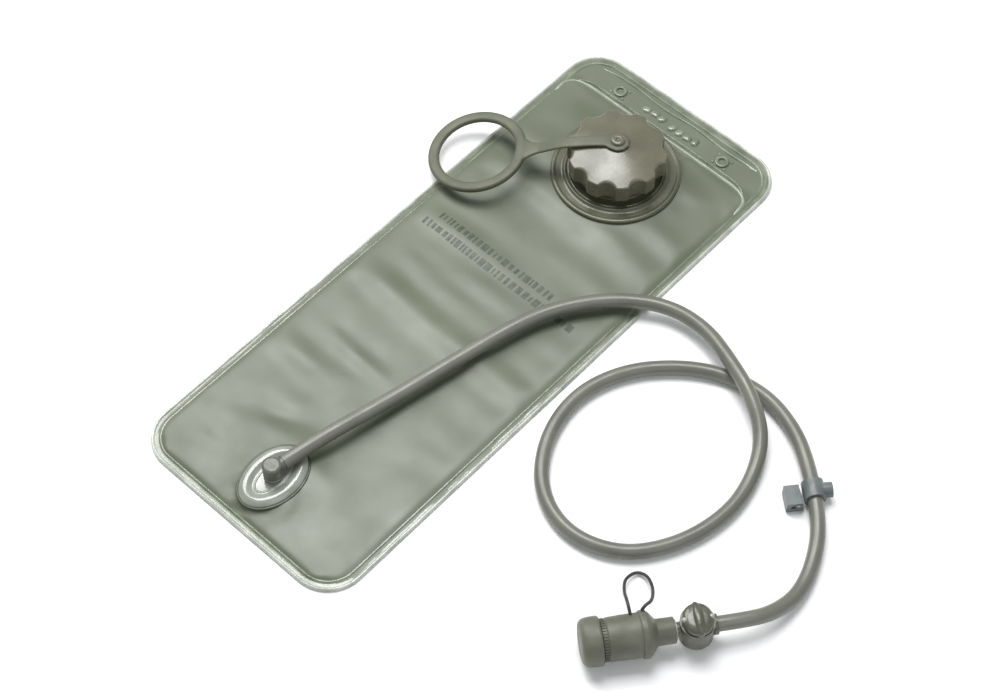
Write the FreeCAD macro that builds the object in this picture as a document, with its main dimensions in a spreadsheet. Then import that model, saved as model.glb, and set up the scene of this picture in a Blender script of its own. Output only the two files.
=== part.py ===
import FreeCAD, Part
import math
import os
import Sketcher

# Hydration bladder: a flat film reservoir with a screw-cap filler port, an outlet with a drink
# hose, a hose clip, a shut-off valve and a covered bite valve.  Millimetres, +Z up.  The bag
# lies flat on its back film.  The origin is the middle of that back face, +Y points to the filler end.

Vector = FreeCAD.Vector
UP = Vector(0, 0, 1)

DIMENSIONS = {
    # reservoir
    "bag_length": 432, "bag_width": 171, "corner_radius": 26, "film": 0.8,
    "puff": 6, "bead": 2.2, "bead_height": 2.4,
    "side_weld": 7, "header_depth": 31, "chamber_radius": 24,
    "side_slope": 14, "header_slope": 4, "foot_slope": 6, "slope_inset": 2.2,
    # hanging strip and its eyelets
    "strip_margin": 8.5, "strip_inset": 2.4, "strip_thick": 0.8, "strip_radius": 11,
    "eyelet_spacing": 90, "eyelet_drop": 20, "eyelet_bore": 5, "eyelet_barrel": 8,
    "eyelet_flange": 9.6, "eyelet_flange_thick": 0.6, "eyelet_gap": 0.1,
    # filler port
    "port_drop": 77, "port_flange": 87, "port_flange_thick": 2.5, "port_bevel": 1,
    "ring_outer": 70, "ring_inner": 61, "ring_rise": 1.2,
    "neck_outer": 51, "neck_bore": 45, "neck_height": 18,
    "screw_pitch": 6, "screw_width": 2.2, "screw_tip": 1, "screw_depth": 1.6,
    "screw_root": 0.2, "neck_screw_start": 3.5, "neck_screw_turns": 2,
    # filler cap
    "cap_outer": 66, "cap_bore": 54.8, "cap_height": 14.5, "cap_edge": 0.8, "cap_crown": 16.4,
    "cap_ceiling": 12, "cap_recess": 20, "cap_pocket": 13, "cap_roof": 2.5, "dome_rise": 6,
    "dome_bulge": 0.4, "cap_stand": 7.5, "cap_screw_start": 2.5, "cap_screw_turns": 0.9,
    "lobes": 10, "cap_angle": 11.2, "scallop_radius": 8, "scallop_depth": 3.5,
    "gasket_inner": 44, "gasket_outer": 53.6, "gasket_thick": 1.2,
    # rivet and tether
    "shank": 6, "swivel_gap": 0.06, "rivet_head": 9.5, "rivet_head_thick": 1.6,
    "rivet_foot": 11, "rivet_foot_thick": 1.4, "rivet_gap": 0.3, "rivet_dimple": 3,
    "tether_thick": 2.2, "tether_width": 9, "tether_eye": 16, "tether_reach": 92.6,
    "tether_bend": 20, "tether_bend_drop": 2.1, "tether_over_rim": 35.5, "tether_rim_drop": 5.4,
    "tether_ring_outer": 67, "tether_ring_inner": 52, "tether_ring_thick": 4.4,
    "tether_ring_height": 15.3, "tether_tilt": 11.2, "tether_angle": 216.7,
    # outlet
    "outlet_rise_y": 38, "outlet_long": 50, "outlet_wide": 34.4, "outlet_plate": 1.6,
    "outlet_rim_rise": 1.8, "outlet_rim_long": 43.6, "outlet_rim_wide": 28, "outlet_rim_band": 3,
    "outlet_boss": 16, "outlet_boss_rise": 1.4, "outlet_bore": 6.4,
    "seal_thick": 1.2, "seal_outer": 12, "elbow_post": 12, "elbow_crown": 1.5,
    "elbow_collar": 8.4, "elbow_reach": 8, "barb_length": 14, "flow_bore": 4.4, "riser_bore": 4,
    # drink hose
    "hose_outer": 9.5, "hose_bore": 6.4, "barb_gap": 0.05,
    # hose clip
    "clip_collar_outer": 13.8, "clip_collar_gap": 0.1, "clip_collar_length": 12,
    "clip_lug": 9.6, "clip_lug_end": 11.2, "clip_shift": 2, "clip_length": 13.5,
    "clip_far": 18, "clip_plate": 3.4, "clip_pivot_out": 10.5, "clip_pivot_up": 5.6,
    "clip_knuckle": 4.8, "clip_knuckle_width": 2.5, "clip_pin": 2, "clip_jaw_thick": 2.5,
    "clip_jaw_up": 0.8, "clip_tail": 1.9, "clip_lip": 2.4, "clip_gap": 0.3, "clip_spring_outer": 4,
    # shut-off valve
    "valve_seat": 12, "valve_shell": 21, "valve_floor": 9, "valve_roof": 7.5,
    "valve_stop": 12.4, "valve_barb": 9.5, "valve_stop_thick": 2.5, "valve_neck": 10.4,
    "spout": 9, "spout_end": 38, "plug": 12, "plug_gap": 0.05, "plug_foot": 5.5, "flow": 4.8,
    "seal_groove": 10, "valve_seal_thick": 1.4, "lower_seal": 4.9, "upper_seal": 4.2,
    "knob": 20.5, "knob_gap": 0.4, "knob_thick": 3.6, "knob_dome": 1.6, "fin_length": 22,
    "fin_width": 4.2, "fin_rise": 3.2, "screw_head": 4, "screw_shank": 2, "screw_length": 8,
    # bite valve and its cover
    "bite_start": 24.3, "bite_stem": 12.6, "bite_stem_end": 44, "bite_bulb": 18.6,
    "bite_bulb_end": 70, "bite_tip": 77, "bite_tip_width": 14, "bite_wall": 2.4,
    "cover_start": 25, "cover_neck": 16, "neck_end": 36, "neck_step": 0.8, "taper_end": 40, "cover_outer": 26.4,
    "cover_wall": 1.8, "cover_end": 68, "groove_width": 2.3, "groove_depth": 1,
    "band_start": 38.5, "band_width": 4.5, "band_thick": 1.2,
    "end_cap_outer": 29.6, "end_cap_end": 81, "end_cap_wall": 2, "end_cap_round": 3.5,
    "plug_skirt": 4, "plug_skirt_wall": 1, "plug_skirt_gap": 0.1, "cover_gap": 0.3,
    "loop_cord": 2,
}

# The drink hose's route, from the outlet elbow to the shut-off valve.
HOSE_ROUTE = [
    (1.2806, -170.1032, 14.5), (6, -141, 14.5), (15.5, -96, 11.2), (27.5, -38, 11.2), (38, 9, 11.2),
    (51.5, 36.5, 11.2), (72, 61, 11.2), (98, 78.5, 10), (127, 79.5, 15.5), (152, 70.5, 24),
    (179, 59.5, 24), (202, 44, 12), (215, 19, 4.8), (219.5, -11, 4.8), (211, -46, 4.8),
    (190, -75, 4.8), (157, -86.5, 4.8), (125, -75.5, 4.8), (103, -46, 4.8), (95.5, -10, 4.8),
    (106, 24, 4.8), (130, 51, 4.8), (157, 66.5, 4.8), (184, 70.5, 4.8), (207, 64.5, 6),
    (228, 53, 7.2), (264, 22, 7.2), (278.5, -3, 4.8), (284.5, -25, 5.5), (282, -45.5, 10),
    (274.7, -61.4, 15), (263.5, -75.5, 15),
]
BEND_SHARE = 0.45      # how much of a run each of its two bends takes up
CLIP_RUN = 25          # the run of the hose that the clip sits on
CLIP_ALONG = 0.56      # how far along that run the clip's middle is

# The pull loop's route, along, across and above the bite valve's axis.
LOOP_ROUTE = [
    (50, 9.1, 9.9), (50.4, 12.5, 13.4), (50.5, 18.5, 11.5), (50, 25.5, 4.5), (48.4, 34, -3),
    (45.5, 42, -10), (38, 47.5, -13.9), (32, 43, -12), (31.6, 31.5, -4), (33.8, 21.5, 4.5),
    (36.8, 14.5, 11.5), (41, 11.6, 14.2), (43, 10.23, 11.01),
]

doc = FreeCAD.newDocument("hydration_bladder")
sheet = doc.addObject("Spreadsheet::Sheet", "Sheet")


class Size:
    """A length that knows its number and the sheet expression that drives it."""

    def __init__(self, number, text):
        self.number = float(number)
        self.text = text

    def combine(self, other, sign, number):
        text = other.text if isinstance(other, Size) else repr(float(other))
        return Size(number, "(%s %s %s)" % (self.text, sign, text))

    def __add__(self, other):
        return self.combine(other, "+", self.number + plain(other))

    def __sub__(self, other):
        return self.combine(other, "-", self.number - plain(other))

    def __mul__(self, other):
        return self.combine(other, "*", self.number * plain(other))

    def __truediv__(self, other):
        return self.combine(other, "/", self.number / plain(other))

    def __neg__(self):
        return self * -1


def plain(value):
    """The number of a Size or of a plain number."""
    return value.number if isinstance(value, Size) else float(value)


ZERO = Size(0, "0")


class Sizes:
    """Every driving dimension of the sheet, as an attribute."""


size = Sizes()
for row, (alias, value) in enumerate(DIMENSIONS.items(), start=1):
    sheet.set("A%d" % row, alias)
    sheet.set("B%d" % row, str(value))
    sheet.setAlias("B%d" % row, alias)
    setattr(size, alias, Size(value, "Sheet." + alias))
doc.recompute()

parts = []             # every sub-part, in the order made


# ---------------------------------------------------------------- helpers: sketches

def new_body(label, place=None):
    """A body for one sub-part."""
    body = doc.addObject("PartDesign::Body", label)
    body.Label = label
    if place is not None:
        body.Placement = place
    parts.append(body)
    return body


def origin_feature(body, role):
    """One of a body's own origin planes or axes."""
    return [item for item in body.Origin.OriginFeatures if item.Role == role][0]


def new_sketch(body, plane="XY_Plane", height=0):
    """A sketch on one of the body's origin planes, raised by height."""
    sketch = body.newObject("Sketcher::SketchObject", body.Label + "_sketch")
    sketch.AttachmentSupport = [(origin_feature(body, plane), "")]
    sketch.MapMode = "FlatFace"
    if isinstance(height, Size):
        move_along(sketch, height)
    return sketch


def move_along(sketch, distance):
    """Moves a sketch off its plane, along the plane's normal."""
    sketch.AttachmentOffset = FreeCAD.Placement(Vector(0, 0, distance.number), FreeCAD.Rotation())
    sketch.setExpression("AttachmentOffset.Base.z", distance.text)


def bind(sketch, kind, references, value):
    """A dimension of a sketch, driven by the sheet where value is a Size."""
    if abs(plain(value)) < 1e-9:
        geometry, point = references[2:4]
        axis = {"DistanceX": -2, "DistanceY": -1}[kind]
        sketch.addConstraint(Sketcher.Constraint("PointOnObject", geometry, point, axis))
        return
    number = sketch.addConstraint(Sketcher.Constraint(kind, *references, plain(value)))
    if isinstance(value, Size):
        sketch.setExpression("Constraints[%d]" % number, value.text)


def place_point(sketch, geometry, point, x, y):
    """Fixes one point of a sketch at x, y from its origin."""
    bind(sketch, "DistanceX", (-1, 1, geometry, point), x)
    bind(sketch, "DistanceY", (-1, 1, geometry, point), y)


def circle(sketch, radius, x=0, y=0):
    """A circle of a given radius and centre."""
    centre = Vector(plain(x), plain(y), 0)
    number = sketch.addGeometry(Part.Circle(centre, UP, plain(radius)))
    bind(sketch, "Radius", (number,), radius)
    place_point(sketch, number, 3, x, y)


def outline(sketch, points, bulges=None):
    """A closed outline; bulges gives the rise of the arc that replaces the edge after a point."""
    bulges = bulges or {}
    first = sketch.GeometryCount
    count = len(points)
    flat = [Vector(plain(x), plain(y), 0) for x, y in points]
    tags = []
    for index in range(count):
        start, end = flat[index], flat[(index + 1) % count]
        if index in bulges:
            along = end - start
            side = Vector(along.y, -along.x, 0).normalize()
            bulge = plain(bulges[index])
            middle = (start + end) / 2 + side * bulge
            ends = (start, end) if bulge > 0 else (end, start)
            sketch.addGeometry(Part.Arc(ends[0], middle, ends[1]))
            tags.append((1, 2) if bulge > 0 else (2, 1))
        else:
            sketch.addGeometry(Part.LineSegment(start, end))
            tags.append((1, 2))
    for index in range(count):
        here, following = first + index, first + (index + 1) % count
        next_start = tags[(index + 1) % count][0]
        sketch.addConstraint(Sketcher.Constraint("Coincident", here, tags[index][1], following, next_start))
        place_point(sketch, here, tags[index][0], *points[index])
        if index in bulges:
            dx = points[(index + 1) % count][0] - points[index][0]
            dy = points[(index + 1) % count][1] - points[index][1]
            rise = abs_size(bulges[index])
            bind(sketch, "Radius", (here,), (dx * dx + dy * dy) / 8 / rise + rise / 2)


def abs_size(value):
    """A size without its sign."""
    return value if plain(value) >= 0 else -value


def rounded_rectangle(sketch, width, height, radius, x=0, y=0):
    """A rectangle with equal round corners, centred on x, y."""
    half_width, half_height = plain(width) / 2, plain(height) / 2
    cx, cy, r = plain(x), plain(y), plain(radius)
    right, left = cx + half_width, cx - half_width
    top, bottom = cy + half_height, cy - half_height
    first = sketch.GeometryCount
    lines = [
        ((left + r, bottom), (right - r, bottom)), ((right, bottom + r), (right, top - r)),
        ((right - r, top), (left + r, top)), ((left, top - r), (left, bottom + r)),
    ]
    for start, end in lines:
        sketch.addGeometry(Part.LineSegment(Vector(*start, 0), Vector(*end, 0)))
    corners = [(right - r, bottom + r, 270), (right - r, top - r, 0),
               (left + r, top - r, 90), (left + r, bottom + r, 180)]
    for corner_x, corner_y, angle in corners:
        ring = Part.Circle(Vector(corner_x, corner_y, 0), UP, r)
        sketch.addGeometry(Part.ArcOfCircle(ring, math.radians(angle), math.radians(angle + 90)))
    for side in range(4):
        line, arc, following = first + side, first + 4 + side, first + (side + 1) % 4
        sketch.addConstraint(Sketcher.Constraint("Tangent", line, 2, arc, 1))
        sketch.addConstraint(Sketcher.Constraint("Tangent", arc, 2, following, 1))
        if side:
            sketch.addConstraint(Sketcher.Constraint("Equal", first + 4, arc))
        kind = "Vertical" if side % 2 else "Horizontal"
        sketch.addConstraint(Sketcher.Constraint(kind, line))
    bind(sketch, "Radius", (first + 4,), radius)
    bind(sketch, "DistanceY", (-1, 1, first, 1), -(height / 2) + y)
    bind(sketch, "DistanceX", (-1, 1, first + 1, 1), width / 2 + x)
    bind(sketch, "DistanceY", (-1, 1, first + 2, 1), height / 2 + y)
    bind(sketch, "DistanceX", (-1, 1, first + 3, 1), -(width / 2) + x)


# ---------------------------------------------------------------- helpers: features

def pad(body, sketch, length, downward=False, midplane=False):
    """Adds the sketch's shape, length thick."""
    feature = body.newObject("PartDesign::Pad", body.Label + "_pad")
    feature.Profile = sketch
    feature.Length = plain(length)
    feature.setExpression("Length", length.text)
    feature.Reversed = downward
    feature.Midplane = midplane
    doc.recompute()


def pocket(body, sketch, length, upward=True):
    """Cuts the sketch's shape, length deep, upward from the sketch, and checks that it cut."""
    before = body.Shape.Volume
    feature = body.newObject("PartDesign::Pocket", body.Label + "_pocket")
    feature.Profile = sketch
    feature.Length = plain(length)
    feature.setExpression("Length", length.text)
    feature.Reversed = upward
    doc.recompute()
    if feature.Shape.Volume >= before - 1e-6:
        raise RuntimeError("%s: the pocket cut nothing" % body.Label)
    return feature


def turn(body, sketch, axis="V_Axis", cut=False):
    """A full revolution, or a groove, of the sketch about one of its axes."""
    before = body.Shape.Volume if cut else 0
    kind = "Groove" if cut else "Revolution"
    feature = body.newObject("PartDesign::" + kind, body.Label + "_" + kind.lower())
    feature.Profile = sketch
    feature.ReferenceAxis = (sketch, [axis])
    feature.Angle = 360
    doc.recompute()
    if cut and feature.Shape.Volume >= before - 1e-6:
        raise RuntimeError("%s: the groove cut nothing" % body.Label)


def loft(body, sections, cut=False):
    """A straight loft through sketches."""
    kind = "SubtractiveLoft" if cut else "AdditiveLoft"
    feature = body.newObject("PartDesign::" + kind, body.Label + "_loft")
    feature.Profile = sections[0]
    feature.Sections = [(section, [""]) for section in sections[1:]]
    feature.Ruled = True
    doc.recompute()


def screw_ridge(body, sketch, pitch, turns):
    """A helical ridge, right-handed, about the sketch's vertical axis."""
    feature = body.newObject("PartDesign::AdditiveHelix", body.Label + "_screw")
    feature.Profile = sketch
    feature.ReferenceAxis = (sketch, ["V_Axis"])
    feature.Mode = "pitch-height-angle"
    feature.Pitch = plain(pitch)
    feature.Height = plain(pitch * turns)
    feature.setExpression("Pitch", pitch.text)
    feature.setExpression("Height", (pitch * turns).text)
    feature.Angle = 0
    feature.Reversed = False
    doc.recompute()


def polar(body, original, count):
    """Copies a feature evenly round the body's Z axis."""
    feature = body.newObject("PartDesign::PolarPattern", body.Label + "_polar")
    feature.Originals = [original]
    feature.Axis = (origin_feature(body, "Z_Axis"), [""])
    feature.Angle = 360
    feature.Occurrences = int(plain(count))
    feature.setExpression("Occurrences", count.text)
    body.Tip = feature
    doc.recompute()


def at(x, y, z, angle=0):
    """A placement at a point, turned about the vertical by angle degrees."""
    return FreeCAD.Placement(Vector(plain(x), plain(y), plain(z)), FreeCAD.Rotation(UP, angle))


# ---------------------------------------------------------------- reservoir

TOP = size.bag_length / 2
EYELET_Y = TOP - size.eyelet_drop
CHAMBER_TOP = TOP - size.header_depth
CHAMBER_BOTTOM = -(TOP - size.side_weld)


def film_outline(sketch):
    """The film's outline inside the edge bead."""
    rounded_rectangle(sketch, size.bag_width - size.bead * 2, size.bag_length - size.bead * 2,
                      size.corner_radius - size.bead)


def eyelet_holes(sketch, radius):
    """A circle at each eyelet."""
    for side in (-1, 1):
        circle(sketch, radius, size.eyelet_spacing / 2 * side, EYELET_Y)


def chamber_section(body, height, side, header, foot):
    """A section of the water chamber, drawn in from its weld on each side."""
    sketch = new_sketch(body, "XY_Plane", height)
    width = size.bag_width - size.side_weld * 2 - side * 2
    length = CHAMBER_TOP - CHAMBER_BOTTOM - header - foot
    middle = (CHAMBER_TOP - header + CHAMBER_BOTTOM + foot) / 2
    rounded_rectangle(sketch, width, length, size.chamber_radius - side, 0, middle)
    return sketch


def make_back_film():
    body = new_body("back_film")
    sketch = new_sketch(body)
    film_outline(sketch)
    eyelet_holes(sketch, size.eyelet_barrel / 2 + size.eyelet_gap)
    pad(body, sketch, size.film)


def make_front_film():
    body = new_body("front_film")
    flat = new_sketch(body, "XY_Plane", size.film)
    film_outline(flat)
    pad(body, flat, size.film)
    inset = size.slope_inset
    loft(body, [chamber_section(body, size.film, ZERO, ZERO, ZERO),
                chamber_section(body, size.puff, size.side_slope, size.header_slope, size.foot_slope)])
    loft(body, [chamber_section(body, size.film, inset, inset / 2, inset / 2),
                chamber_section(body, size.puff - size.film, size.side_slope, size.header_slope,
                                size.foot_slope)], cut=True)
    holes = new_sketch(body)
    eyelet_holes(holes, size.eyelet_barrel / 2 + size.eyelet_gap)
    circle(holes, size.neck_bore / 2, 0, TOP - size.port_drop)
    circle(holes, size.outlet_bore / 2, 0, -(TOP - size.outlet_rise_y))
    pocket(body, holes, size.puff * 2)


def make_edge_weld():
    body = new_body("edge_weld")
    sketch = new_sketch(body)
    rounded_rectangle(sketch, size.bag_width, size.bag_length, size.corner_radius)
    film_outline(sketch)
    pad(body, sketch, size.bead_height)


def make_header_strip():
    body = new_body("header_strip")
    sketch = new_sketch(body, "XY_Plane", size.film * 2)
    depth = size.header_depth - size.bead - size.strip_inset * 2
    middle = TOP - size.bead - size.strip_inset - depth / 2
    rounded_rectangle(sketch, size.bag_width - size.strip_margin * 2, depth, size.strip_radius, 0, middle)
    eyelet_holes(sketch, size.eyelet_barrel / 2 + size.eyelet_gap)
    pad(body, sketch, size.strip_thick)


def make_hanger_eyelets():
    body = new_body("hanger_eyelets")
    barrel = new_sketch(body)
    eyelet_holes(barrel, size.eyelet_barrel / 2)
    eyelet_holes(barrel, size.eyelet_bore / 2)
    pad(body, barrel, size.film * 2 + size.strip_thick)
    flange = new_sketch(body, "XY_Plane", size.film * 2 + size.strip_thick)
    eyelet_holes(flange, size.eyelet_flange / 2)
    eyelet_holes(flange, size.eyelet_bore / 2)
    pad(body, flange, size.eyelet_flange_thick)


# ---------------------------------------------------------------- filler port and cap

PORT_Y = TOP - size.port_drop
NECK_TOP = size.port_flange_thick + size.neck_height
CAP_FOOT = size.puff + size.port_flange_thick + size.cap_stand
DOME_TOP = size.cap_height + size.dome_rise
EYE_FOOT = DOME_TOP + size.rivet_gap
EYE_TOP = EYE_FOOT + size.tether_thick


def ridge_profile(sketch, wall, depth, start):
    """The screw ridge's cross-section, standing depth out from the wall."""
    half_difference = (size.screw_width - size.screw_tip) / 2
    root = wall - size.screw_root if plain(depth) > 0 else wall + size.screw_root
    tip = wall + depth
    outline(sketch, [(root, start), (tip, start + half_difference),
                     (tip, start + half_difference + size.screw_tip), (root, start + size.screw_width)])


def make_filler_port():
    body = new_body("filler_port", at(0, PORT_Y, size.puff))
    profile = new_sketch(body, "XZ_Plane")
    flange, thick = size.port_flange / 2, size.port_flange_thick
    outline(profile, [
        (size.neck_bore / 2, ZERO), (flange, ZERO), (flange, thick - size.port_bevel),
        (flange - size.port_bevel, thick), (size.ring_outer / 2, thick),
        (size.ring_outer / 2 - size.ring_rise / 2, thick + size.ring_rise),
        (size.ring_inner / 2 + size.ring_rise / 2, thick + size.ring_rise),
        (size.ring_inner / 2, thick), (size.neck_outer / 2, thick),
        (size.neck_outer / 2, NECK_TOP), (size.neck_bore / 2, NECK_TOP)])
    turn(body, profile)
    ridge = new_sketch(body, "XZ_Plane")
    ridge_profile(ridge, size.neck_outer / 2, size.screw_depth, size.neck_screw_start)
    screw_ridge(body, ridge, size.screw_pitch, size.neck_screw_turns)


def make_filler_cap():
    body = new_body("filler_cap", at(0, PORT_Y, CAP_FOOT, DIMENSIONS["cap_angle"]))
    profile = new_sketch(body, "XZ_Plane")
    outer, bore, eye = size.cap_outer / 2, size.cap_bore / 2, size.shank / 2 + size.swivel_gap
    crown = size.cap_crown / 2
    outline(profile, [
        (bore, ZERO), (outer, ZERO), (outer, size.cap_height - size.cap_edge),
        (outer - size.cap_edge, size.cap_height), (crown, DOME_TOP), (eye, DOME_TOP),
        (eye, DOME_TOP - size.cap_roof), (size.cap_pocket / 2, DOME_TOP - size.cap_roof),
        (size.cap_recess, size.cap_height - size.cap_edge / 2), (size.cap_recess, size.cap_ceiling),
        (bore, size.cap_ceiling)], {3: size.dome_bulge})
    turn(body, profile)
    scallop = new_sketch(body)
    circle(scallop, size.scallop_radius, outer + size.scallop_radius - size.scallop_depth, 0)
    cut = pocket(body, scallop, size.cap_height * 2)
    polar(body, cut, size.lobes)
    ridge = new_sketch(body, "XZ_Plane")
    ridge_profile(ridge, bore, -size.screw_depth, size.cap_screw_start)
    screw_ridge(body, ridge, size.screw_pitch, size.cap_screw_turns)


def make_cap_gasket():
    body = new_body("cap_gasket", at(0, PORT_Y, CAP_FOOT))
    sketch = new_sketch(body, "XY_Plane", size.cap_ceiling)
    circle(sketch, size.gasket_outer / 2)
    circle(sketch, size.gasket_inner / 2)
    pad(body, sketch, size.gasket_thick, downward=True)


def make_cap_rivet():
    body = new_body("cap_rivet", at(0, PORT_Y, CAP_FOOT))
    profile = new_sketch(body, "XZ_Plane")
    foot_top = DOME_TOP - size.cap_roof - size.rivet_gap
    head_foot = EYE_TOP + size.rivet_gap
    head, shank, dimple = size.rivet_head / 2, size.shank / 2, size.rivet_dimple / 2
    outline(profile, [
        (ZERO, foot_top - size.rivet_foot_thick), (size.rivet_foot / 2, foot_top - size.rivet_foot_thick),
        (size.rivet_foot / 2, foot_top), (shank, foot_top), (shank, head_foot), (head, head_foot),
        (head, head_foot + size.rivet_head_thick / 2), (dimple * 2, head_foot + size.rivet_head_thick),
        (dimple, head_foot + size.rivet_head_thick), (ZERO, head_foot + size.rivet_head_thick / 2)],
        {6: size.rivet_head_thick / 8})
    turn(body, profile)


def make_cap_tether():
    body = new_body("cap_tether", at(0, PORT_Y, CAP_FOOT, DIMENSIONS["tether_angle"]))
    side = new_sketch(body, "XZ_Plane")
    thick, eye, bend, rim = size.tether_thick, size.tether_eye / 2, size.tether_bend, size.tether_over_rim
    ring_middle = size.tether_ring_height - CAP_FOOT
    overlap = size.tether_ring_outer / 2 - thick
    tilt = size.tether_tilt.number
    rise = Size(math.sin(math.radians(tilt)), "sin(%s * 1 deg)" % size.tether_tilt.text)
    end, end_height = size.tether_reach - overlap, ring_middle + overlap * rise
    outline(side, [
        (eye - thick, EYE_FOOT), (eye, EYE_FOOT), (bend, EYE_FOOT - size.tether_bend_drop),
        (rim, EYE_FOOT - size.tether_rim_drop), (end, end_height - thick / 2),
        (end, end_height + thick / 2), (rim, EYE_TOP - size.tether_rim_drop),
        (bend, EYE_TOP - size.tether_bend_drop), (eye, EYE_TOP), (eye - thick, EYE_TOP)])
    pad(body, side, size.tether_width, midplane=True)
    hub = new_sketch(body, "XY_Plane", EYE_FOOT)
    circle(hub, eye)
    pad(body, hub, thick)
    ring = new_sketch(body, "XY_Plane")
    ring.AttachmentOffset = FreeCAD.Placement(
        Vector(size.tether_reach.number, 0, ring_middle.number), FreeCAD.Rotation(Vector(0, 1, 0), tilt))
    ring.setExpression("AttachmentOffset.Base.x", size.tether_reach.text)
    ring.setExpression("AttachmentOffset.Base.z", ring_middle.text)
    circle(ring, size.tether_ring_outer / 2)
    circle(ring, size.tether_ring_inner / 2)
    pad(body, ring, size.tether_ring_thick, midplane=True)
    bore = new_sketch(body, "XY_Plane", EYE_FOOT - thick)
    circle(bore, size.shank / 2 + size.swivel_gap)
    pocket(body, bore, thick * 3)


# ---------------------------------------------------------------- outlet

OUTLET_Y = -(TOP - size.outlet_rise_y)
BOSS_TOP = size.outlet_plate + size.outlet_boss_rise
HOSE_OVER_FILM = Size(HOSE_ROUTE[0][2], repr(float(HOSE_ROUTE[0][2]))) - size.puff


def route_angle(first, second):
    """The direction in plan from one point to another, in degrees."""
    return math.degrees(math.atan2(second[1] - first[1], second[0] - first[0]))


OUTLET_ANGLE = route_angle((0, OUTLET_Y.number), HOSE_ROUTE[1])


def make_outlet_base():
    body = new_body("outlet_base", at(0, OUTLET_Y, size.puff))
    plate = new_sketch(body)
    rounded_rectangle(plate, size.outlet_wide, size.outlet_long, size.outlet_wide / 2 - size.barb_gap)
    pad(body, plate, size.outlet_plate)
    rim = new_sketch(body, "XY_Plane", size.outlet_plate)
    wide, long, band = size.outlet_rim_wide, size.outlet_rim_long, size.outlet_rim_band
    rounded_rectangle(rim, wide, long, wide / 2 - size.barb_gap)
    rounded_rectangle(rim, wide - band * 2, long - band * 2, wide / 2 - band - size.barb_gap)
    pad(body, rim, size.outlet_rim_rise)
    boss = new_sketch(body, "XY_Plane", size.outlet_plate)
    circle(boss, size.outlet_boss / 2)
    pad(body, boss, size.outlet_boss_rise)
    bore = new_sketch(body)
    circle(bore, size.outlet_bore / 2)
    pocket(body, bore, BOSS_TOP * 2)


def make_outlet_seal():
    body = new_body("outlet_seal", at(0, OUTLET_Y, size.puff))
    sketch = new_sketch(body, "XY_Plane", BOSS_TOP)
    circle(sketch, size.seal_outer / 2)
    circle(sketch, size.outlet_bore / 2)
    pad(body, sketch, size.seal_thick)


def make_outlet_elbow():
    body = new_body("outlet_elbow", at(0, OUTLET_Y, size.puff, OUTLET_ANGLE))
    foot = BOSS_TOP + size.seal_thick
    crown = HOSE_OVER_FILM + size.elbow_collar / 2 + size.elbow_crown * 1.5
    post = new_sketch(body, "XZ_Plane")
    side = size.elbow_post / 2
    outline(post, [(ZERO, foot), (side, foot), (side, crown - size.elbow_crown / 2),
                   (side - size.elbow_crown, crown), (ZERO, crown)])
    turn(body, post)
    collar = new_sketch(body, "YZ_Plane")
    circle(collar, size.elbow_collar / 2, 0, HOSE_OVER_FILM)
    pad(body, collar, size.elbow_reach)
    barb = new_sketch(body, "YZ_Plane")
    circle(barb, size.hose_bore / 2 - size.barb_gap, 0, HOSE_OVER_FILM)
    pad(body, barb, size.elbow_reach + size.barb_length)
    across = new_sketch(body, "YZ_Plane")
    circle(across, size.flow_bore / 2, 0, HOSE_OVER_FILM)
    move_along(across, -size.riser_bore)
    pocket(body, across, size.elbow_reach + size.barb_length * 2)
    upward = new_sketch(body, "XY_Plane", foot)
    circle(upward, size.riser_bore / 2)
    pocket(body, upward, HOSE_OVER_FILM - foot)


# ---------------------------------------------------------------- tubes along a route

def tube_wire(points):
    """Straight runs joined by tangent arcs, each as large as its two runs allow."""
    corners = [Vector(*point) for point in points]
    edges, radii = [], []
    last = corners[0]
    for before, corner, after in zip(corners, corners[1:], corners[2:]):
        incoming, outgoing = corner - before, after - corner
        reach = BEND_SHARE * min(incoming.Length, outgoing.Length)
        half_turn = incoming.getAngle(outgoing) / 2
        radii.append(reach / math.tan(half_turn))
        incoming.normalize()
        outgoing.normalize()
        start, end = corner - incoming * reach, corner + outgoing * reach
        toward = (outgoing - incoming).normalize()
        middle = corner + toward * (radii[-1] / math.cos(half_turn) - radii[-1])
        edges.append(Part.LineSegment(last, start).toShape())
        edges.append(Part.Arc(start, middle, end).toShape())
        last = end
    edges.append(Part.LineSegment(last, corners[-1]).toShape())
    return Part.Wire(edges), radii


def sweep(wire, radius, direction):
    """A solid round bar along a wire."""
    start = wire.OrderedVertexes[0].Point
    section = Part.Wire([Part.Circle(start, direction, radius).toShape()])
    return wire.makePipeShell([section], True, False)


def make_tube(label, points, outer, bore, place=None):
    """A tube, or a bar where bore is 0, along a route."""
    wire, radii = tube_wire(points)
    direction = Vector(*points[1]) - Vector(*points[0])
    shape = sweep(wire, outer / 2, direction)
    area = math.pi * outer ** 2 / 4
    if bore:
        shape = shape.cut(sweep(wire, bore / 2, direction))
        area -= math.pi * bore ** 2 / 4
    print("%s: length %.1f, radii %s" % (label, wire.Length, [round(radius, 1) for radius in radii]))
    print("%s: volume %.1f, section x length %.1f" % (label, shape.Volume, area * wire.Length))
    feature = doc.addObject("Part::Feature", label)
    feature.Label = label
    feature.Shape = shape
    if place is not None:
        feature.Placement = place
    parts.append(feature)


# ---------------------------------------------------------------- hose clip

def along_route(run, share):
    """A point part of the way along one run of the hose."""
    start, end = Vector(*HOSE_ROUTE[run]), Vector(*HOSE_ROUTE[run + 1])
    return start + (end - start) * share


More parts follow.
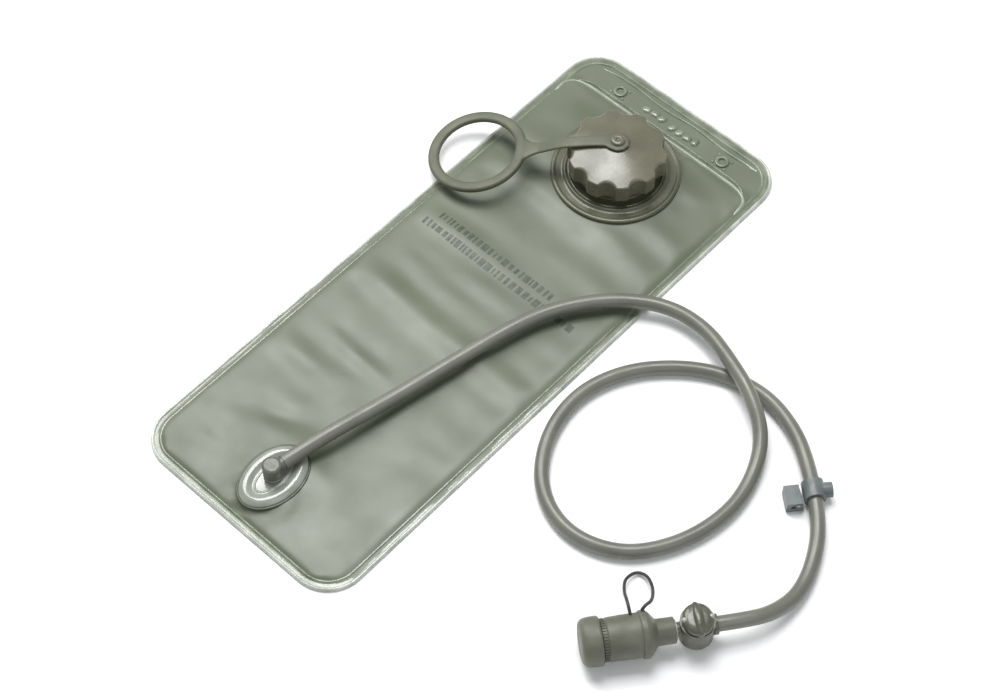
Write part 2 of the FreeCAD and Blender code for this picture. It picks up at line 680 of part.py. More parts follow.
CLIP_CENTRE = along_route(CLIP_RUN, CLIP_ALONG)
CLIP_PLACE = at(CLIP_CENTRE.x, CLIP_CENTRE.y, CLIP_CENTRE.z,
                route_angle(HOSE_ROUTE[CLIP_RUN], HOSE_ROUTE[CLIP_RUN + 1]))
CLIP_FLOOR = -(size.clip_collar_outer / 2)
PLATE_TOP = CLIP_FLOOR + size.clip_plate
PIVOT_Y = -size.clip_pivot_out
PIVOT_Z = CLIP_FLOOR + size.clip_pivot_up
BLOCK_START = size.clip_shift - size.clip_length / 2


def block_pad(body, sketch, start, width):
    """Pads a YZ sketch from start along the hose, width thick."""
    move_along(sketch, start)
    pad(body, sketch, width)


def knuckle(body, start, bore):
    """One hinge knuckle of the clip, with its pin hole."""
    ring = new_sketch(body, "YZ_Plane")
    circle(ring, size.clip_knuckle / 2, PIVOT_Y, PIVOT_Z)
    circle(ring, bore, PIVOT_Y, PIVOT_Z)
    block_pad(body, ring, start, size.clip_knuckle_width)


def make_clip_collar():
    body = new_body("clip_collar", CLIP_PLACE)
    half = size.clip_collar_length / 2
    ring = new_sketch(body, "YZ_Plane")
    circle(ring, size.clip_collar_outer / 2)
    block_pad(body, ring, -half, size.clip_collar_length)
    lug = new_sketch(body, "XZ_Plane")
    circle(lug, size.clip_lug / 2)
    pad(body, lug, size.clip_lug_end, downward=True)
    bore = new_sketch(body, "YZ_Plane")
    circle(bore, size.hose_outer / 2 + size.clip_collar_gap)
    move_along(bore, -half * 2)
    pocket(body, bore, size.clip_collar_length * 2)


def make_clip_base():
    body = new_body("clip_base", CLIP_PLACE)
    plate = new_sketch(body, "YZ_Plane")
    edge = -(size.clip_collar_outer / 2) - size.clip_gap
    outline(plate, [(-size.clip_far, CLIP_FLOOR), (edge, CLIP_FLOOR), (edge, PLATE_TOP),
                    (-size.clip_far, PLATE_TOP)])
    block_pad(body, plate, BLOCK_START, size.clip_length)
    knuckle(body, BLOCK_START, size.clip_pin / 2)
    knuckle(body, BLOCK_START + size.clip_length - size.clip_knuckle_width, size.clip_pin / 2)
    jaw_room = new_sketch(body, "YZ_Plane")
    circle(jaw_room, size.clip_knuckle / 2 + size.clip_gap, PIVOT_Y, PIVOT_Z)
    move_along(jaw_room, BLOCK_START + size.clip_knuckle_width)
    pocket(body, jaw_room, size.clip_length - size.clip_knuckle_width * 2)


def make_clip_jaw():
    body = new_body("clip_jaw", CLIP_PLACE)
    foot = PIVOT_Z + size.clip_jaw_up
    top = foot + size.clip_jaw_thick
    tail = PIVOT_Y + size.clip_tail
    lip_foot = PLATE_TOP + size.clip_gap
    plate = new_sketch(body, "YZ_Plane")
    outline(plate, [(-size.clip_far, lip_foot), (-(size.clip_far - size.clip_lip), lip_foot),
                    (-(size.clip_far - size.clip_lip * 1.5), foot), (tail, foot), (tail, top),
                    (-size.clip_far, top)])
    block_pad(body, plate, BLOCK_START, size.clip_length)
    width, gap, length = size.clip_knuckle_width, size.clip_gap, size.clip_length
    spring_room = width * 2 + gap * 1.5
    slots = ((-width, width + gap / 2), (spring_room, length - spring_room),
             (length - width - gap / 2, length + width))
    for start, end in slots:
        slot = new_sketch(body, "YZ_Plane")
        circle(slot, size.clip_knuckle / 2 + gap, PIVOT_Y, PIVOT_Z)
        move_along(slot, BLOCK_START + start)
        pocket(body, slot, end - start)
    knuckle(body, BLOCK_START + width + gap, size.clip_pin / 2 + size.swivel_gap)
    knuckle(body, BLOCK_START + length - width * 2 - gap, size.clip_pin / 2 + size.swivel_gap)
    bore = new_sketch(body, "YZ_Plane")
    circle(bore, size.clip_pin / 2 + size.swivel_gap, PIVOT_Y, PIVOT_Z)
    move_along(bore, BLOCK_START - width)
    pocket(body, bore, length + width * 2)


def make_clip_pin():
    body = new_body("clip_pin", CLIP_PLACE)
    sketch = new_sketch(body, "YZ_Plane")
    circle(sketch, size.clip_pin / 2, PIVOT_Y, PIVOT_Z)
    block_pad(body, sketch, BLOCK_START, size.clip_length)


def make_clip_spring():
    body = new_body("clip_spring", CLIP_PLACE)
    sketch = new_sketch(body, "YZ_Plane")
    circle(sketch, size.clip_spring_outer / 2, PIVOT_Y, PIVOT_Z)
    circle(sketch, size.clip_pin / 2 + size.swivel_gap, PIVOT_Y, PIVOT_Z)
    start = BLOCK_START + size.clip_knuckle_width * 2 + size.clip_gap * 2
    block_pad(body, sketch, start, size.clip_length - size.clip_knuckle_width * 4 - size.clip_gap * 4)


# ---------------------------------------------------------------- shut-off valve

VALVE_PLACE = at(*HOSE_ROUTE[-1], route_angle(HOSE_ROUTE[-2], HOSE_ROUTE[-1]))
SEAT_PLACE = VALVE_PLACE.multiply(at(size.valve_seat, 0, 0))


def bar(body, start, end, radius):
    """A round bar along the flow axis."""
    sketch = new_sketch(body, "YZ_Plane")
    circle(sketch, radius)
    block_pad(body, sketch, start, end - start)


def make_valve_body():
    body = new_body("valve_body", VALVE_PLACE)
    shell = new_sketch(body, "XY_Plane", -size.valve_floor)
    circle(shell, size.valve_shell / 2, size.valve_seat, 0)
    pad(body, shell, size.valve_floor + size.valve_roof)
    bar(body, ZERO, size.valve_stop_thick, size.valve_stop / 2)
    bar(body, ZERO, size.valve_seat, size.valve_neck / 2)
    bar(body, -size.valve_barb, size.valve_seat, size.hose_bore / 2 - size.barb_gap)
    bar(body, size.valve_seat, size.spout_end, size.spout / 2)
    flow = new_sketch(body, "YZ_Plane")
    circle(flow, size.flow / 2)
    move_along(flow, -size.valve_barb * 2)
    pocket(body, flow, size.valve_barb * 3 + size.spout_end)
    seat = new_sketch(body, "XY_Plane", -size.plug_foot)
    circle(seat, size.plug / 2, size.valve_seat, 0)
    pocket(body, seat, size.valve_floor * 3)


def make_valve_plug():
    body = new_body("valve_plug", SEAT_PLACE)
    outer, groove = size.plug / 2 - size.plug_gap, size.seal_groove / 2
    foot, top = -(size.plug_foot - size.knob_gap), size.valve_roof + size.knob_gap
    ring = size.valve_seal_thick
    profile = new_sketch(body, "XZ_Plane")
    low, high = -size.lower_seal, size.upper_seal
    outline(profile, [
        (size.screw_shank / 2, foot + size.knob_gap), (groove, foot), (groove, low + ring),
        (outer, low + ring), (outer, high), (groove, high), (groove, high + ring),
        (outer, high + ring), (outer, top), (size.screw_shank / 2, top)])
    turn(body, profile)
    core = new_sketch(body, "XY_Plane", foot + size.knob_gap)
    circle(core, size.screw_shank / 2 + size.screw_root)
    pad(body, core, top - size.screw_length + size.knob_thick - foot - size.knob_gap)
    port = new_sketch(body, "XZ_Plane")
    circle(port, size.flow / 2)
    move_along(port, -size.plug)
    pocket(body, port, size.plug * 2)


def make_valve_seals():
    body = new_body("valve_seals", SEAT_PLACE)
    for foot in (-size.lower_seal, size.upper_seal):
        ring = new_sketch(body, "XY_Plane", foot)
        circle(ring, size.plug / 2 - size.plug_gap)
        circle(ring, size.seal_groove / 2)
        pad(body, ring, size.valve_seal_thick)


def make_valve_knob():
    body = new_body("valve_knob", SEAT_PLACE)
    foot = size.valve_roof + size.knob_gap
    top = foot + size.knob_thick
    outer = size.knob / 2
    dome = new_sketch(body, "XZ_Plane")
    outline(dome, [(ZERO, foot), (outer, foot), (outer, top - size.knob_dome), (ZERO, top)],
            {2: size.knob_dome / 2})
    turn(body, dome)
    fin = new_sketch(body, "YZ_Plane")
    half = size.fin_length / 2
    outline(fin, [(-half, foot), (half, foot), (half, top - size.knob_dome), (half / 3, top + size.fin_rise),
                  (-half / 3, top + size.fin_rise), (-half, top - size.knob_dome)])
    pad(body, fin, size.fin_width, midplane=True)
    bore = new_sketch(body, "XY_Plane", foot)
    circle(bore, size.screw_shank / 2)
    pocket(body, bore, size.knob_thick * 3)
    sink = new_sketch(body, "XY_Plane", top)
    circle(sink, size.screw_head / 2)
    pocket(body, sink, size.fin_rise * 2)


def make_knob_screw():
    body = new_body("knob_screw", SEAT_PLACE)
    top = size.valve_roof + size.knob_gap + size.knob_thick
    head = new_sketch(body, "XY_Plane", top)
    circle(head, size.screw_head / 2)
    pad(body, head, size.fin_rise / 2)
    shank = new_sketch(body, "XY_Plane", top)
    circle(shank, size.screw_shank / 2)
    pad(body, shank, size.screw_length - size.knob_thick, downward=True)


# ---------------------------------------------------------------- bite valve and cover

def lathe(body, points, bulges=None):
    """Turns an outline of (along, radius) points about the flow axis."""
    sketch = new_sketch(body, "XZ_Plane")
    outline(sketch, points, bulges)
    turn(body, sketch, "H_Axis")


def make_bite_valve():
    body = new_body("bite_valve", VALVE_PLACE)
    stem, bulb, spout = size.bite_stem / 2, size.bite_bulb / 2, size.spout / 2
    hollow = bulb - size.bite_wall
    lathe(body, [
        (size.bite_start, spout), (size.spout_end, spout), (size.bite_stem_end, hollow),
        (size.bite_bulb_end, hollow), (size.bite_tip - size.bite_wall, size.bite_wall / 4),
        (size.bite_tip, size.bite_wall / 4), (size.bite_tip, size.bite_tip_width / 2),
        (size.bite_bulb_end, bulb), (size.bite_stem_end, bulb), (size.spout_end, stem),
        (size.bite_start, stem)])


def make_cover_barrel():
    body = new_body("cover_barrel", VALVE_PLACE)
    outer, wall = size.cover_outer / 2, size.cover_wall
    neck = size.cover_neck / 2
    inner = outer - wall
    bore = size.bite_stem / 2
    start, shoulder, end = size.cover_start, size.taper_end, size.cover_end
    lathe(body, [
        (start, bore), (start, neck), (size.neck_end, neck), (shoulder, outer), (end - size.groove_width, outer),
        (end - size.groove_width, outer - size.groove_depth), (end, outer - size.groove_depth),
        (end, inner), (shoulder + wall, inner), (size.neck_end + size.neck_step, bore)])


def make_loop_band():
    body = new_body("loop_band", VALVE_PLACE)
    inner, start = size.cover_outer / 2, size.band_start + size.groove_width
    outer, end = inner + size.band_thick, size.band_start + size.band_width + size.groove_width
    lathe(body, [(start, inner), (start, outer), (end, outer), (end, inner)])


def make_cover_cap():
    body = new_body("cover_cap", VALVE_PLACE)
    start = size.cover_end + size.cover_gap
    outer, wall, end = size.end_cap_outer / 2, size.end_cap_wall, size.end_cap_end
    skirt = size.cover_outer / 2 - size.cover_wall - size.plug_skirt_gap
    inside = skirt - size.plug_skirt_wall
    corner = size.end_cap_round
    lathe(body, [
        (start - size.plug_skirt, inside), (start - size.plug_skirt, skirt), (start, skirt),
        (start, outer), (end - corner, outer), (end, outer - corner), (end, ZERO),
        (end - wall, ZERO), (end - wall, inside)],
        {4: -(corner / 5)})


# ---------------------------------------------------------------- assembly

def build():
    make_back_film()
    make_front_film()
    make_edge_weld()
    make_header_strip()
    make_hanger_eyelets()
    make_filler_port()
    make_filler_cap()
    make_cap_gasket()
    make_cap_rivet()
    make_cap_tether()
    make_outlet_base()
    make_outlet_seal()
    make_outlet_elbow()
    make_tube("drink_hose", HOSE_ROUTE, DIMENSIONS["hose_outer"], DIMENSIONS["hose_bore"])
    make_clip_collar()
    make_clip_base()
    make_clip_jaw()
    make_clip_pin()
    make_clip_spring()
    make_valve_body()
    make_valve_plug()
    make_valve_seals()
    make_valve_knob()
    make_knob_screw()
    make_bite_valve()
    make_cover_barrel()
    make_loop_band()
    make_cover_cap()
    loop = [(along, -across, up) for along, across, up in LOOP_ROUTE]
    make_tube("pull_loop", loop, DIMENSIONS["loop_cord"], 0, VALVE_PLACE)


def check():
    """Stops the script at any failed or empty object."""
    doc.recompute()
    for item in doc.Objects:
        if "Invalid" in item.State or "Error" in item.State:
            raise RuntimeError("%s failed: %s" % (item.Label, item.State))
    for part in parts:
        if part.Shape.isNull() or not part.Shape.isValid() or part.Shape.Volume <= 0:
            raise RuntimeError("%s has no valid shape" % part.Label)


def write():
    """Writes each sub-part to its own file."""
    os.makedirs("parts", exist_ok=True)
    for part in parts:
        part.Shape.exportStep("parts/%s.step" % part.Label)
        box = part.Shape.BoundBox
        print("%-16s %d solid(s) %8.1f mm3  x %.1f..%.1f  y %.1f..%.1f  z %.1f..%.1f" % (
            part.Label, len(part.Shape.Solids), part.Shape.Volume,
            box.XMin, box.XMax, box.YMin, box.YMax, box.ZMin, box.ZMax))


build()
check()
write()
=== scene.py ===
import math
import random

import bpy
from mathutils import Matrix, Vector, noise
from mathutils.bvhtree import BVHTree


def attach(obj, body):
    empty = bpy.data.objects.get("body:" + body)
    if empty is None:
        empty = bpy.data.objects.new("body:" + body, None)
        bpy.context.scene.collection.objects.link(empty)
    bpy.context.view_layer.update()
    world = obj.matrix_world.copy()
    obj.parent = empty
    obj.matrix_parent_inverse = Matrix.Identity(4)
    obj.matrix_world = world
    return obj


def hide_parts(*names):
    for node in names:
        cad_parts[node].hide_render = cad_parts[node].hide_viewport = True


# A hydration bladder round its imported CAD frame. Lengths are in millimetres up to the point where
# a mesh or a curve is made. The row frame: +Y to the filler end, +Z up, the bag on its back film.

MM = 0.001
random.seed(7)
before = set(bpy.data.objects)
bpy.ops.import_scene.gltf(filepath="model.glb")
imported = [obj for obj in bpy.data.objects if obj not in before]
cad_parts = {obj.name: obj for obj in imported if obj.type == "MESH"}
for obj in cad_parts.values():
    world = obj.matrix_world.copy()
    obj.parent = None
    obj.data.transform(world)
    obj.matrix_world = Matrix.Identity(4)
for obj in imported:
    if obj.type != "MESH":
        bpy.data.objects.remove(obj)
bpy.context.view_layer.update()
scene = bpy.context.scene

BAG_WIDTH, BAG_LENGTH, BAG_CORNER = 171.0, 432.0, 26.0
PORT = Vector((0, 139, 0))
PORT_FLANGE = 43.5
OUTLET = Vector((0, -178, 0))
OUTLET_LONG, OUTLET_WIDE = 24.8, 17.2
FLANGE_FOOT = 6.0
HEADER_Y = 185.0
EYELETS = ((-45, 196), (45, 196))

# The drink hose's route, from the outlet elbow to the shut-off valve, in metres.
HOSE_ROUTE = [
    (0.0012806, -0.1701032, 0.0145), (0.006, -0.141, 0.0145), (0.0155, -0.096, 0.0112),
    (0.0275, -0.038, 0.0112), (0.038, 0.009, 0.0112), (0.0515, 0.0365, 0.0112),
    (0.072, 0.061, 0.0112), (0.098, 0.0785, 0.0100), (0.127, 0.0795, 0.0125),
    (0.152, 0.0705, 0.0152), (0.179, 0.0595, 0.0152), (0.202, 0.044, 0.0090),
    (0.215, 0.019, 0.0048), (0.2195, -0.011, 0.0048), (0.211, -0.046, 0.0048),
    (0.190, -0.075, 0.0048), (0.157, -0.0865, 0.0048), (0.125, -0.0755, 0.0048),
    (0.103, -0.046, 0.0048), (0.0955, -0.010, 0.0048), (0.106, 0.024, 0.0048),
    (0.130, 0.051, 0.0048), (0.157, 0.0665, 0.0048), (0.184, 0.0705, 0.0048),
    (0.207, 0.0645, 0.006), (0.228, 0.053, 0.0072), (0.264, 0.022, 0.0072),
    (0.2785, -0.003, 0.0048), (0.2845, -0.025, 0.0055), (0.282, -0.0455, 0.010),
    (0.2747, -0.0614, 0.015), (0.2635, -0.0755, 0.015),
]
# The pull loop's route, along, across and above the bite valve's axis, in metres.
LOOP_ROUTE = [
    (0.050, -0.0091, 0.0099), (0.0504, -0.0125, 0.0134), (0.0505, -0.0185, 0.0115),
    (0.050, -0.0255, 0.0045), (0.0484, -0.034, -0.003), (0.0455, -0.042, -0.010),
    (0.038, -0.0475, -0.0139), (0.032, -0.043, -0.012), (0.0316, -0.0315, -0.004),
    (0.0338, -0.0215, 0.0045), (0.0368, -0.0145, 0.0115), (0.041, -0.0116, 0.0142),
    (0.043, -0.01023, 0.01101),
]


# ---------------------------------------------------------------- camera and light

def make_camera():
    """A level view, looking down on the bag from its outlet end."""
    azimuth, elevation, distance = math.radians(42.60), math.radians(56.98), 1.3951
    target = Vector((0.0357, -0.0126, 0))
    back = Vector((math.sin(azimuth) * math.cos(elevation), -math.cos(azimuth) * math.cos(elevation),
                   math.sin(elevation)))
    data = bpy.data.cameras.new("camera")
    data.sensor_width, data.lens = 36.0, 79.04
    data.clip_start, data.clip_end = 0.05, 20
    camera = bpy.data.objects.new("camera", data)
    camera.location = target + back * distance
    camera.rotation_mode = "QUATERNION"
    camera.rotation_quaternion = (-back).to_track_quat("-Z", "Y")
    scene.collection.objects.link(camera)
    scene.camera = camera


def area_light(name, place, target, size, power, colour=(1, 1, 1)):
    """A square soft light aimed at a point."""
    data = bpy.data.lights.new(name, "AREA")
    data.size, data.energy, data.color = size, power, colour
    light = bpy.data.objects.new(name, data)
    light.location = place
    light.rotation_mode = "QUATERNION"
    light.rotation_quaternion = (Vector(target) - Vector(place)).to_track_quat("-Z", "Y")
    scene.collection.objects.link(light)


def make_light():
    """A key from the left, a soft top light behind the object, a weak fill and a pale surround."""
    area_light("key", (-1.05, 0.15, 1.25), (0.02, 0, 0), 0.8, 15, (1, 0.995, 0.98))
    area_light("top", (-0.35, 0.38, 1.93), (0.02, 0.02, 0), 0.9, 30)
    area_light("fill", (1.6, -0.4, 1.3), (0.1, 0, 0), 1.4, 6, (0.97, 0.985, 1))
    world = bpy.data.worlds.new("world")
    world.use_nodes = True
    world.node_tree.nodes["Background"].inputs["Color"].default_value = (0.95, 0.97, 1, 1)
    world.node_tree.nodes["Background"].inputs["Strength"].default_value = 0.42
    scene.world = world
    scene.view_settings.view_transform = "Standard"


# ---------------------------------------------------------------- materials

def surface(name, light, dark, roughness, grain=900, bump=0.12, patch=28, spread=0.08, **sockets):
    """Two tones mixed in soft patches, with fine grain in the bump and an uneven gloss."""
    material = bpy.data.materials.new(name)
    material.use_nodes = True
    nodes, links = material.node_tree.nodes, material.node_tree.links
    shader = nodes["Principled BSDF"]
    place = nodes.new("ShaderNodeTexCoord").outputs["Object"]

    def cloud(scale, detail):
        texture = nodes.new("ShaderNodeTexNoise")
        texture.inputs["Scale"].default_value = scale
        texture.inputs["Detail"].default_value = detail
        links.new(place, texture.inputs["Vector"])
        return texture.outputs["Fac"]

    ramp = nodes.new("ShaderNodeValToRGB")
    ramp.color_ramp.elements[0].position, ramp.color_ramp.elements[1].position = 0.34, 0.66
    ramp.color_ramp.elements[0].color = (*dark, 1)
    ramp.color_ramp.elements[1].color = (*light, 1)
    links.new(cloud(patch, 4), ramp.inputs["Fac"])
    links.new(ramp.outputs["Color"], shader.inputs["Base Color"])
    gloss = nodes.new("ShaderNodeMapRange")
    gloss.inputs["From Min"].default_value, gloss.inputs["From Max"].default_value = 0.3, 0.7
    gloss.inputs["To Min"].default_value = roughness - spread
    gloss.inputs["To Max"].default_value = roughness + spread
    links.new(cloud(patch * 2.3, 3), gloss.inputs["Value"])
    links.new(gloss.outputs["Result"], shader.inputs["Roughness"])
    relief = nodes.new("ShaderNodeBump")
    relief.inputs["Strength"].default_value = bump
    relief.inputs["Distance"].default_value = 0.0004
    links.new(cloud(grain, 3), relief.inputs["Height"])
    links.new(relief.outputs["Normal"], shader.inputs["Normal"])
    for socket, value in sockets.items():
        shader.inputs[socket.replace("_", " ")].default_value = value
    return material


make_camera()
make_light()
FILM = surface("film", (0.122, 0.139, 0.095), (0.094, 0.111, 0.072), 0.42, grain=260, bump=0.10, patch=14,
               Coat_Weight=0.1, Coat_Roughness=0.3)
FILM_BACK = surface("film_back", (0.138, 0.158, 0.107), (0.104, 0.124, 0.082), 0.40, patch=14)
SEAM = surface("seam", (0.33, 0.36, 0.295), (0.215, 0.24, 0.185), 0.3, patch=60, Coat_Weight=0.3,
               Coat_Roughness=0.15)
WELD = surface("weld", (0.200, 0.228, 0.168), (0.110, 0.134, 0.088), 0.22, grain=420, bump=0.4, patch=70,
               Coat_Weight=0.5, Coat_Roughness=0.12)
BEAD = surface("bead", (0.52, 0.545, 0.49), (0.30, 0.325, 0.275), 0.2, patch=60, Coat_Weight=0.6,
               Coat_Roughness=0.1)
OLIVE = surface("olive_plastic", (0.096, 0.099, 0.056), (0.066, 0.070, 0.038), 0.34, bump=0.2, patch=40,
                Coat_Weight=0.3, Coat_Roughness=0.2)
CAP = surface("cap_plastic", (0.135, 0.128, 0.086), (0.100, 0.096, 0.064), 0.30, bump=0.16, patch=45,
              Coat_Weight=0.3, Coat_Roughness=0.2)
TETHER = surface("tether_rubber", (0.098, 0.106, 0.066), (0.072, 0.079, 0.049), 0.52, bump=0.2, patch=40)
CLEAR = surface("outlet_plastic", (0.31, 0.33, 0.285), (0.21, 0.23, 0.19), 0.2, bump=0.05, patch=60,
                spread=0.04, Coat_Weight=0.5, Coat_Roughness=0.1)
ELBOW = surface("elbow_plastic", (0.105, 0.112, 0.086), (0.070, 0.076, 0.056), 0.4, patch=160,
                Coat_Weight=0.15, Coat_Roughness=0.25)
# Painted shade: a dark tone for the shaded hollow round the outlet, darker than the film's own colour.
PAINTED_SHADE_RIM = surface("painted_shade_rim", (0.075, 0.09, 0.055), (0.05, 0.06, 0.035), 0.35, patch=60)
HOSE = surface("hose_tube", (0.155, 0.160, 0.130), (0.120, 0.124, 0.100), 0.36, grain=700, bump=0.12,
               patch=35, Coat_Weight=0.2, Coat_Roughness=0.3)
CLIP = surface("clip_plastic", (0.135, 0.156, 0.154), (0.092, 0.110, 0.110), 0.38, bump=0.3, patch=120)
VALVE = surface("valve_plastic", (0.105, 0.108, 0.074), (0.070, 0.073, 0.048), 0.36, bump=0.3, patch=110,
                Coat_Weight=0.15, Coat_Roughness=0.2)
KNOB = surface("knob_plastic", (0.090, 0.092, 0.064), (0.062, 0.064, 0.043), 0.38, bump=0.25, patch=160,
               Coat_Weight=0.4, Coat_Roughness=0.12)
# Pale, glossy lugs for the valve knob: their light tone is a painted glint for two small highlights.
PAINTED_GLINT = surface("painted_glint_plastic", (0.42, 0.42, 0.36), (0.25, 0.25, 0.20), 0.15, patch=200, Coat_Weight=0.8,
              Coat_Roughness=0.05)
COVER = surface("cover_plastic", (0.128, 0.132, 0.098), (0.092, 0.096, 0.068), 0.46, grain=1400, bump=0.45,
                patch=70)
CORD = surface("loop_cord", (0.045, 0.046, 0.040), (0.030, 0.031, 0.027), 0.5, grain=1800, bump=0.5)
SOFT = surface("silicone", (0.42, 0.44, 0.38), (0.34, 0.36, 0.30), 0.35, patch=80)
STEEL = surface("steel", (0.62, 0.60, 0.54), (0.48, 0.46, 0.41), 0.24, patch=300, Metallic=1.0)
PRINT = surface("print", (0.035, 0.045, 0.03), (0.07, 0.09, 0.06), 0.5, patch=300)
FLOOR = surface("floor", (0.97, 0.97, 0.97), (0.95, 0.95, 0.95), 0.75, patch=3)


# ---------------------------------------------------------------- mesh helpers

def add_piece(name, points, faces, material, body="root", slot=None, smooth=True):
    """A mesh piece from points in millimetres, riding on a body."""
    mesh = bpy.data.meshes.new(name)
    mesh.from_pydata([Vector(point) * MM for point in points], [], faces)
    mesh.validate()
    mesh.materials.append(material)
    mesh.polygons.foreach_set("use_smooth", [smooth] * len(mesh.polygons))
    mesh.update()
    piece = bpy.data.objects.new(name, mesh)
    scene.collection.objects.link(piece)
    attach(piece, body)
    return piece


def skin(rows, around=True, closed=False):
    """Faces over equal rows of points; around joins a row's ends, closed joins the last row to the first."""
    count, points = len(rows[0]), [point for row in rows for point in row]
    faces = []
    for j in range(len(rows) if closed else len(rows) - 1):
        below, above = j * count, (j + 1) % len(rows) * count
        for i in range(count if around else count - 1):
            k = (i + 1) % count
            faces.append((below + i, below + k, above + k, above + i))
    return points, faces


def soften(corners, radius=0.6, steps=4, closed=False):
    """A polyline with every inner corner rounded; a corner may carry its own radius as a last number."""
    result = []
    size = len(corners)
    plain = [Vector(corner[:2]) for corner in corners]
    for index, corner in enumerate(corners):
        here = plain[index]
        if not closed and index in (0, size - 1):
            result.append(here)
            continue
        before, after = plain[index - 1], plain[(index + 1) % size]
        reach = corner[2] if len(corner) > 2 else radius
        first = here + (before - here).normalized() * min(reach, (before - here).length * 0.49)
        last = here + (after - here).normalized() * min(reach, (after - here).length * 0.49)
        for step in range(steps + 1):
            t = step / steps
            result.append(first * (1 - t) ** 2 + here * 2 * t * (1 - t) + last * t ** 2)
    return result


def turned(name, profile, place, material, body="root", segments=96, reshape=None, **extra):
    """A profile of (radius, height) turned about place's Z; reshape changes a point by its angle."""
    rows = []
    for radius, height in profile:
        row = []
        for index in range(segments):
            angle = 2 * math.pi * index / segments
            r, z = reshape(radius, height, angle) if reshape else (radius, height)
            row.append(place @ Vector((r * math.cos(angle), r * math.sin(angle), z)))
        rows.append(row)
    points, faces = skin(rows)
    return add_piece(name, points, faces, material, body, **extra)


def cord_curve(name, points, radius, material, place=None, resolution=16):
    """A round cord on one smooth curve with these control points, in metres."""
    curve = bpy.data.curves.new(name, "CURVE")
    curve.dimensions = "3D"
    spline = curve.splines.new("NURBS")
    spline.points.add(len(points) - 1)
    for control, point in zip(spline.points, points):
        place_of = place @ Vector(point) if place else Vector(point)
        control.co = (*place_of, 1)
    spline.order_u = 3
    spline.use_endpoint_u = True
    spline.resolution_u = resolution
    curve.bevel_depth = radius * MM
    curve.bevel_resolution = 8
    curve.use_fill_caps = True
    curve.materials.append(material)
    piece = bpy.data.objects.new(name, curve)
    scene.collection.objects.link(piece)
    return piece


def bevel_node(node, width, material):
    """Rounds a CAD node's edges and gives it its material."""
    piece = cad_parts[node]
    piece.data.materials.clear()
    piece.data.materials.append(material)
    if width:
        weld = piece.modifiers.new("weld", "WELD")
        weld.merge_threshold = 0.00001
        modifier = piece.modifiers.new("bevel", "BEVEL")
        modifier.width = width * MM
        modifier.segments = 3
        modifier.limit_method = "ANGLE"
        modifier.angle_limit = math.radians(35)
    for face in piece.data.polygons:
        face.use_smooth = True
    smooth = piece.modifiers.new("normals", "WEIGHTED_NORMAL")
    smooth.keep_sharp = True
    return piece


# ---------------------------------------------------------------- reservoir

def round_loop(inset, arc_steps=10, run_steps=(22, 60)):
    """A closed loop inside the bag's outline, inset from its edge."""
    radius = BAG_CORNER - inset
    right, top = BAG_WIDTH / 2 - BAG_CORNER, BAG_LENGTH / 2 - BAG_CORNER
    corners = [(right, top, 0), (-right, top, 90), (-right, -top, 180), (right, -top, 270)]
    loop = []
    for index, (x, y, start) in enumerate(corners):
        for step in range(arc_steps + 1):
            angle = math.radians(start + 90 * step / arc_steps)
            loop.append(Vector((x + radius * math.cos(angle), y + radius * math.sin(angle))))
        nx, ny, following = corners[(index + 1) % 4]
        angle = math.radians(following)
        end = Vector((nx + radius * math.cos(angle), ny + radius * math.sin(angle)))
        begin = loop[-1]
        steps = run_steps[index % 2]
        loop += [begin.lerp(end, step / steps) for step in range(1, steps)]
    return loop


def half_width(y):
    """Half the bag's width at y, less beyond the start of the round corners."""
    over = abs(y) - (BAG_LENGTH / 2 - BAG_CORNER)
    if over <= 0:
        return BAG_WIDTH / 2
    return BAG_WIDTH / 2 - BAG_CORNER + math.sqrt(max(BAG_CORNER ** 2 - over ** 2, 0))


def edge_distance(x, y):
    """How far a point is inside the bag's outline."""
    dx, dy = BAG_WIDTH / 2 - abs(x), BAG_LENGTH / 2 - abs(y)
    if dx < BAG_CORNER and dy < BAG_CORNER:
        return BAG_CORNER - math.hypot(BAG_CORNER - dx, BAG_CORNER - dy)
    return min(dx, dy)


def ease(value, low, high):
    """0 below low, 1 above high and smooth between."""
    t = min(max((value - low) / (high - low), 0), 1)
    return t * t * (3 - 2 * t)


# The share of each fold's rise that is kept, and how much wider than its width it is.
FOLD_SHARE, FOLD_SPREAD = 0.55, 1.25
# Soft folds pressed into the empty bag: start, end, width and rise, in millimetres.
FOLDS = [
    ((-79, -64), (-22, -82), 11, -2.4), ((-50, 3), (16, -1), 12, -2.4), ((35, -59), (69, -77), 12, -2.2),
    ((-79, -165), (-25, -144), 10, -2.3), ((32, -183), (59, -181), 11, -2.0), ((56, 21), (90, 21), 10, -2.0),
    ((17, 64), (45, 63), 11, 2.2), ((-57, -194), (-31, -160), 10, 2.2), ((63, 90), (71, 141), 9, 1.7),
    ((-62, -67), (-55, -102), 12, 1.7), ((-31, -80), (-4, -81), 4, 1.3), ((-66, -28), (24, -40), 14, 1.8),
    ((-40, -112), (24, -122), 14, 1.6), ((20, -22), (80, -40), 12, 1.4), ((-78, 66), (-44, 84), 11, -1.6),
    ((-60, 30), (-6, 36), 13, 1.3), ((38, -150), (70, -122), 12, 1.6), ((-20, -205), (30, -206), 5, 1.2),
    ((-70, 160), (-46, 176), 8, 1.4), ((-30, 70), (4, 84), 9, -1.2),
]


def fold_height(x, y):
    """The folds' own rise at a point."""
    total = 0
    here = Vector((x, y))
    for start, end, width, rise in FOLDS:
        a, b = Vector(start), Vector(end)
        along = b - a
        t = min(max((here - a).dot(along) / along.length_squared, 0), 1)
        off = (here - (a + along * t)).length
        total += FOLD_SHARE * rise * math.exp(-(off / (width * FOLD_SPREAD)) ** 2)
    return total


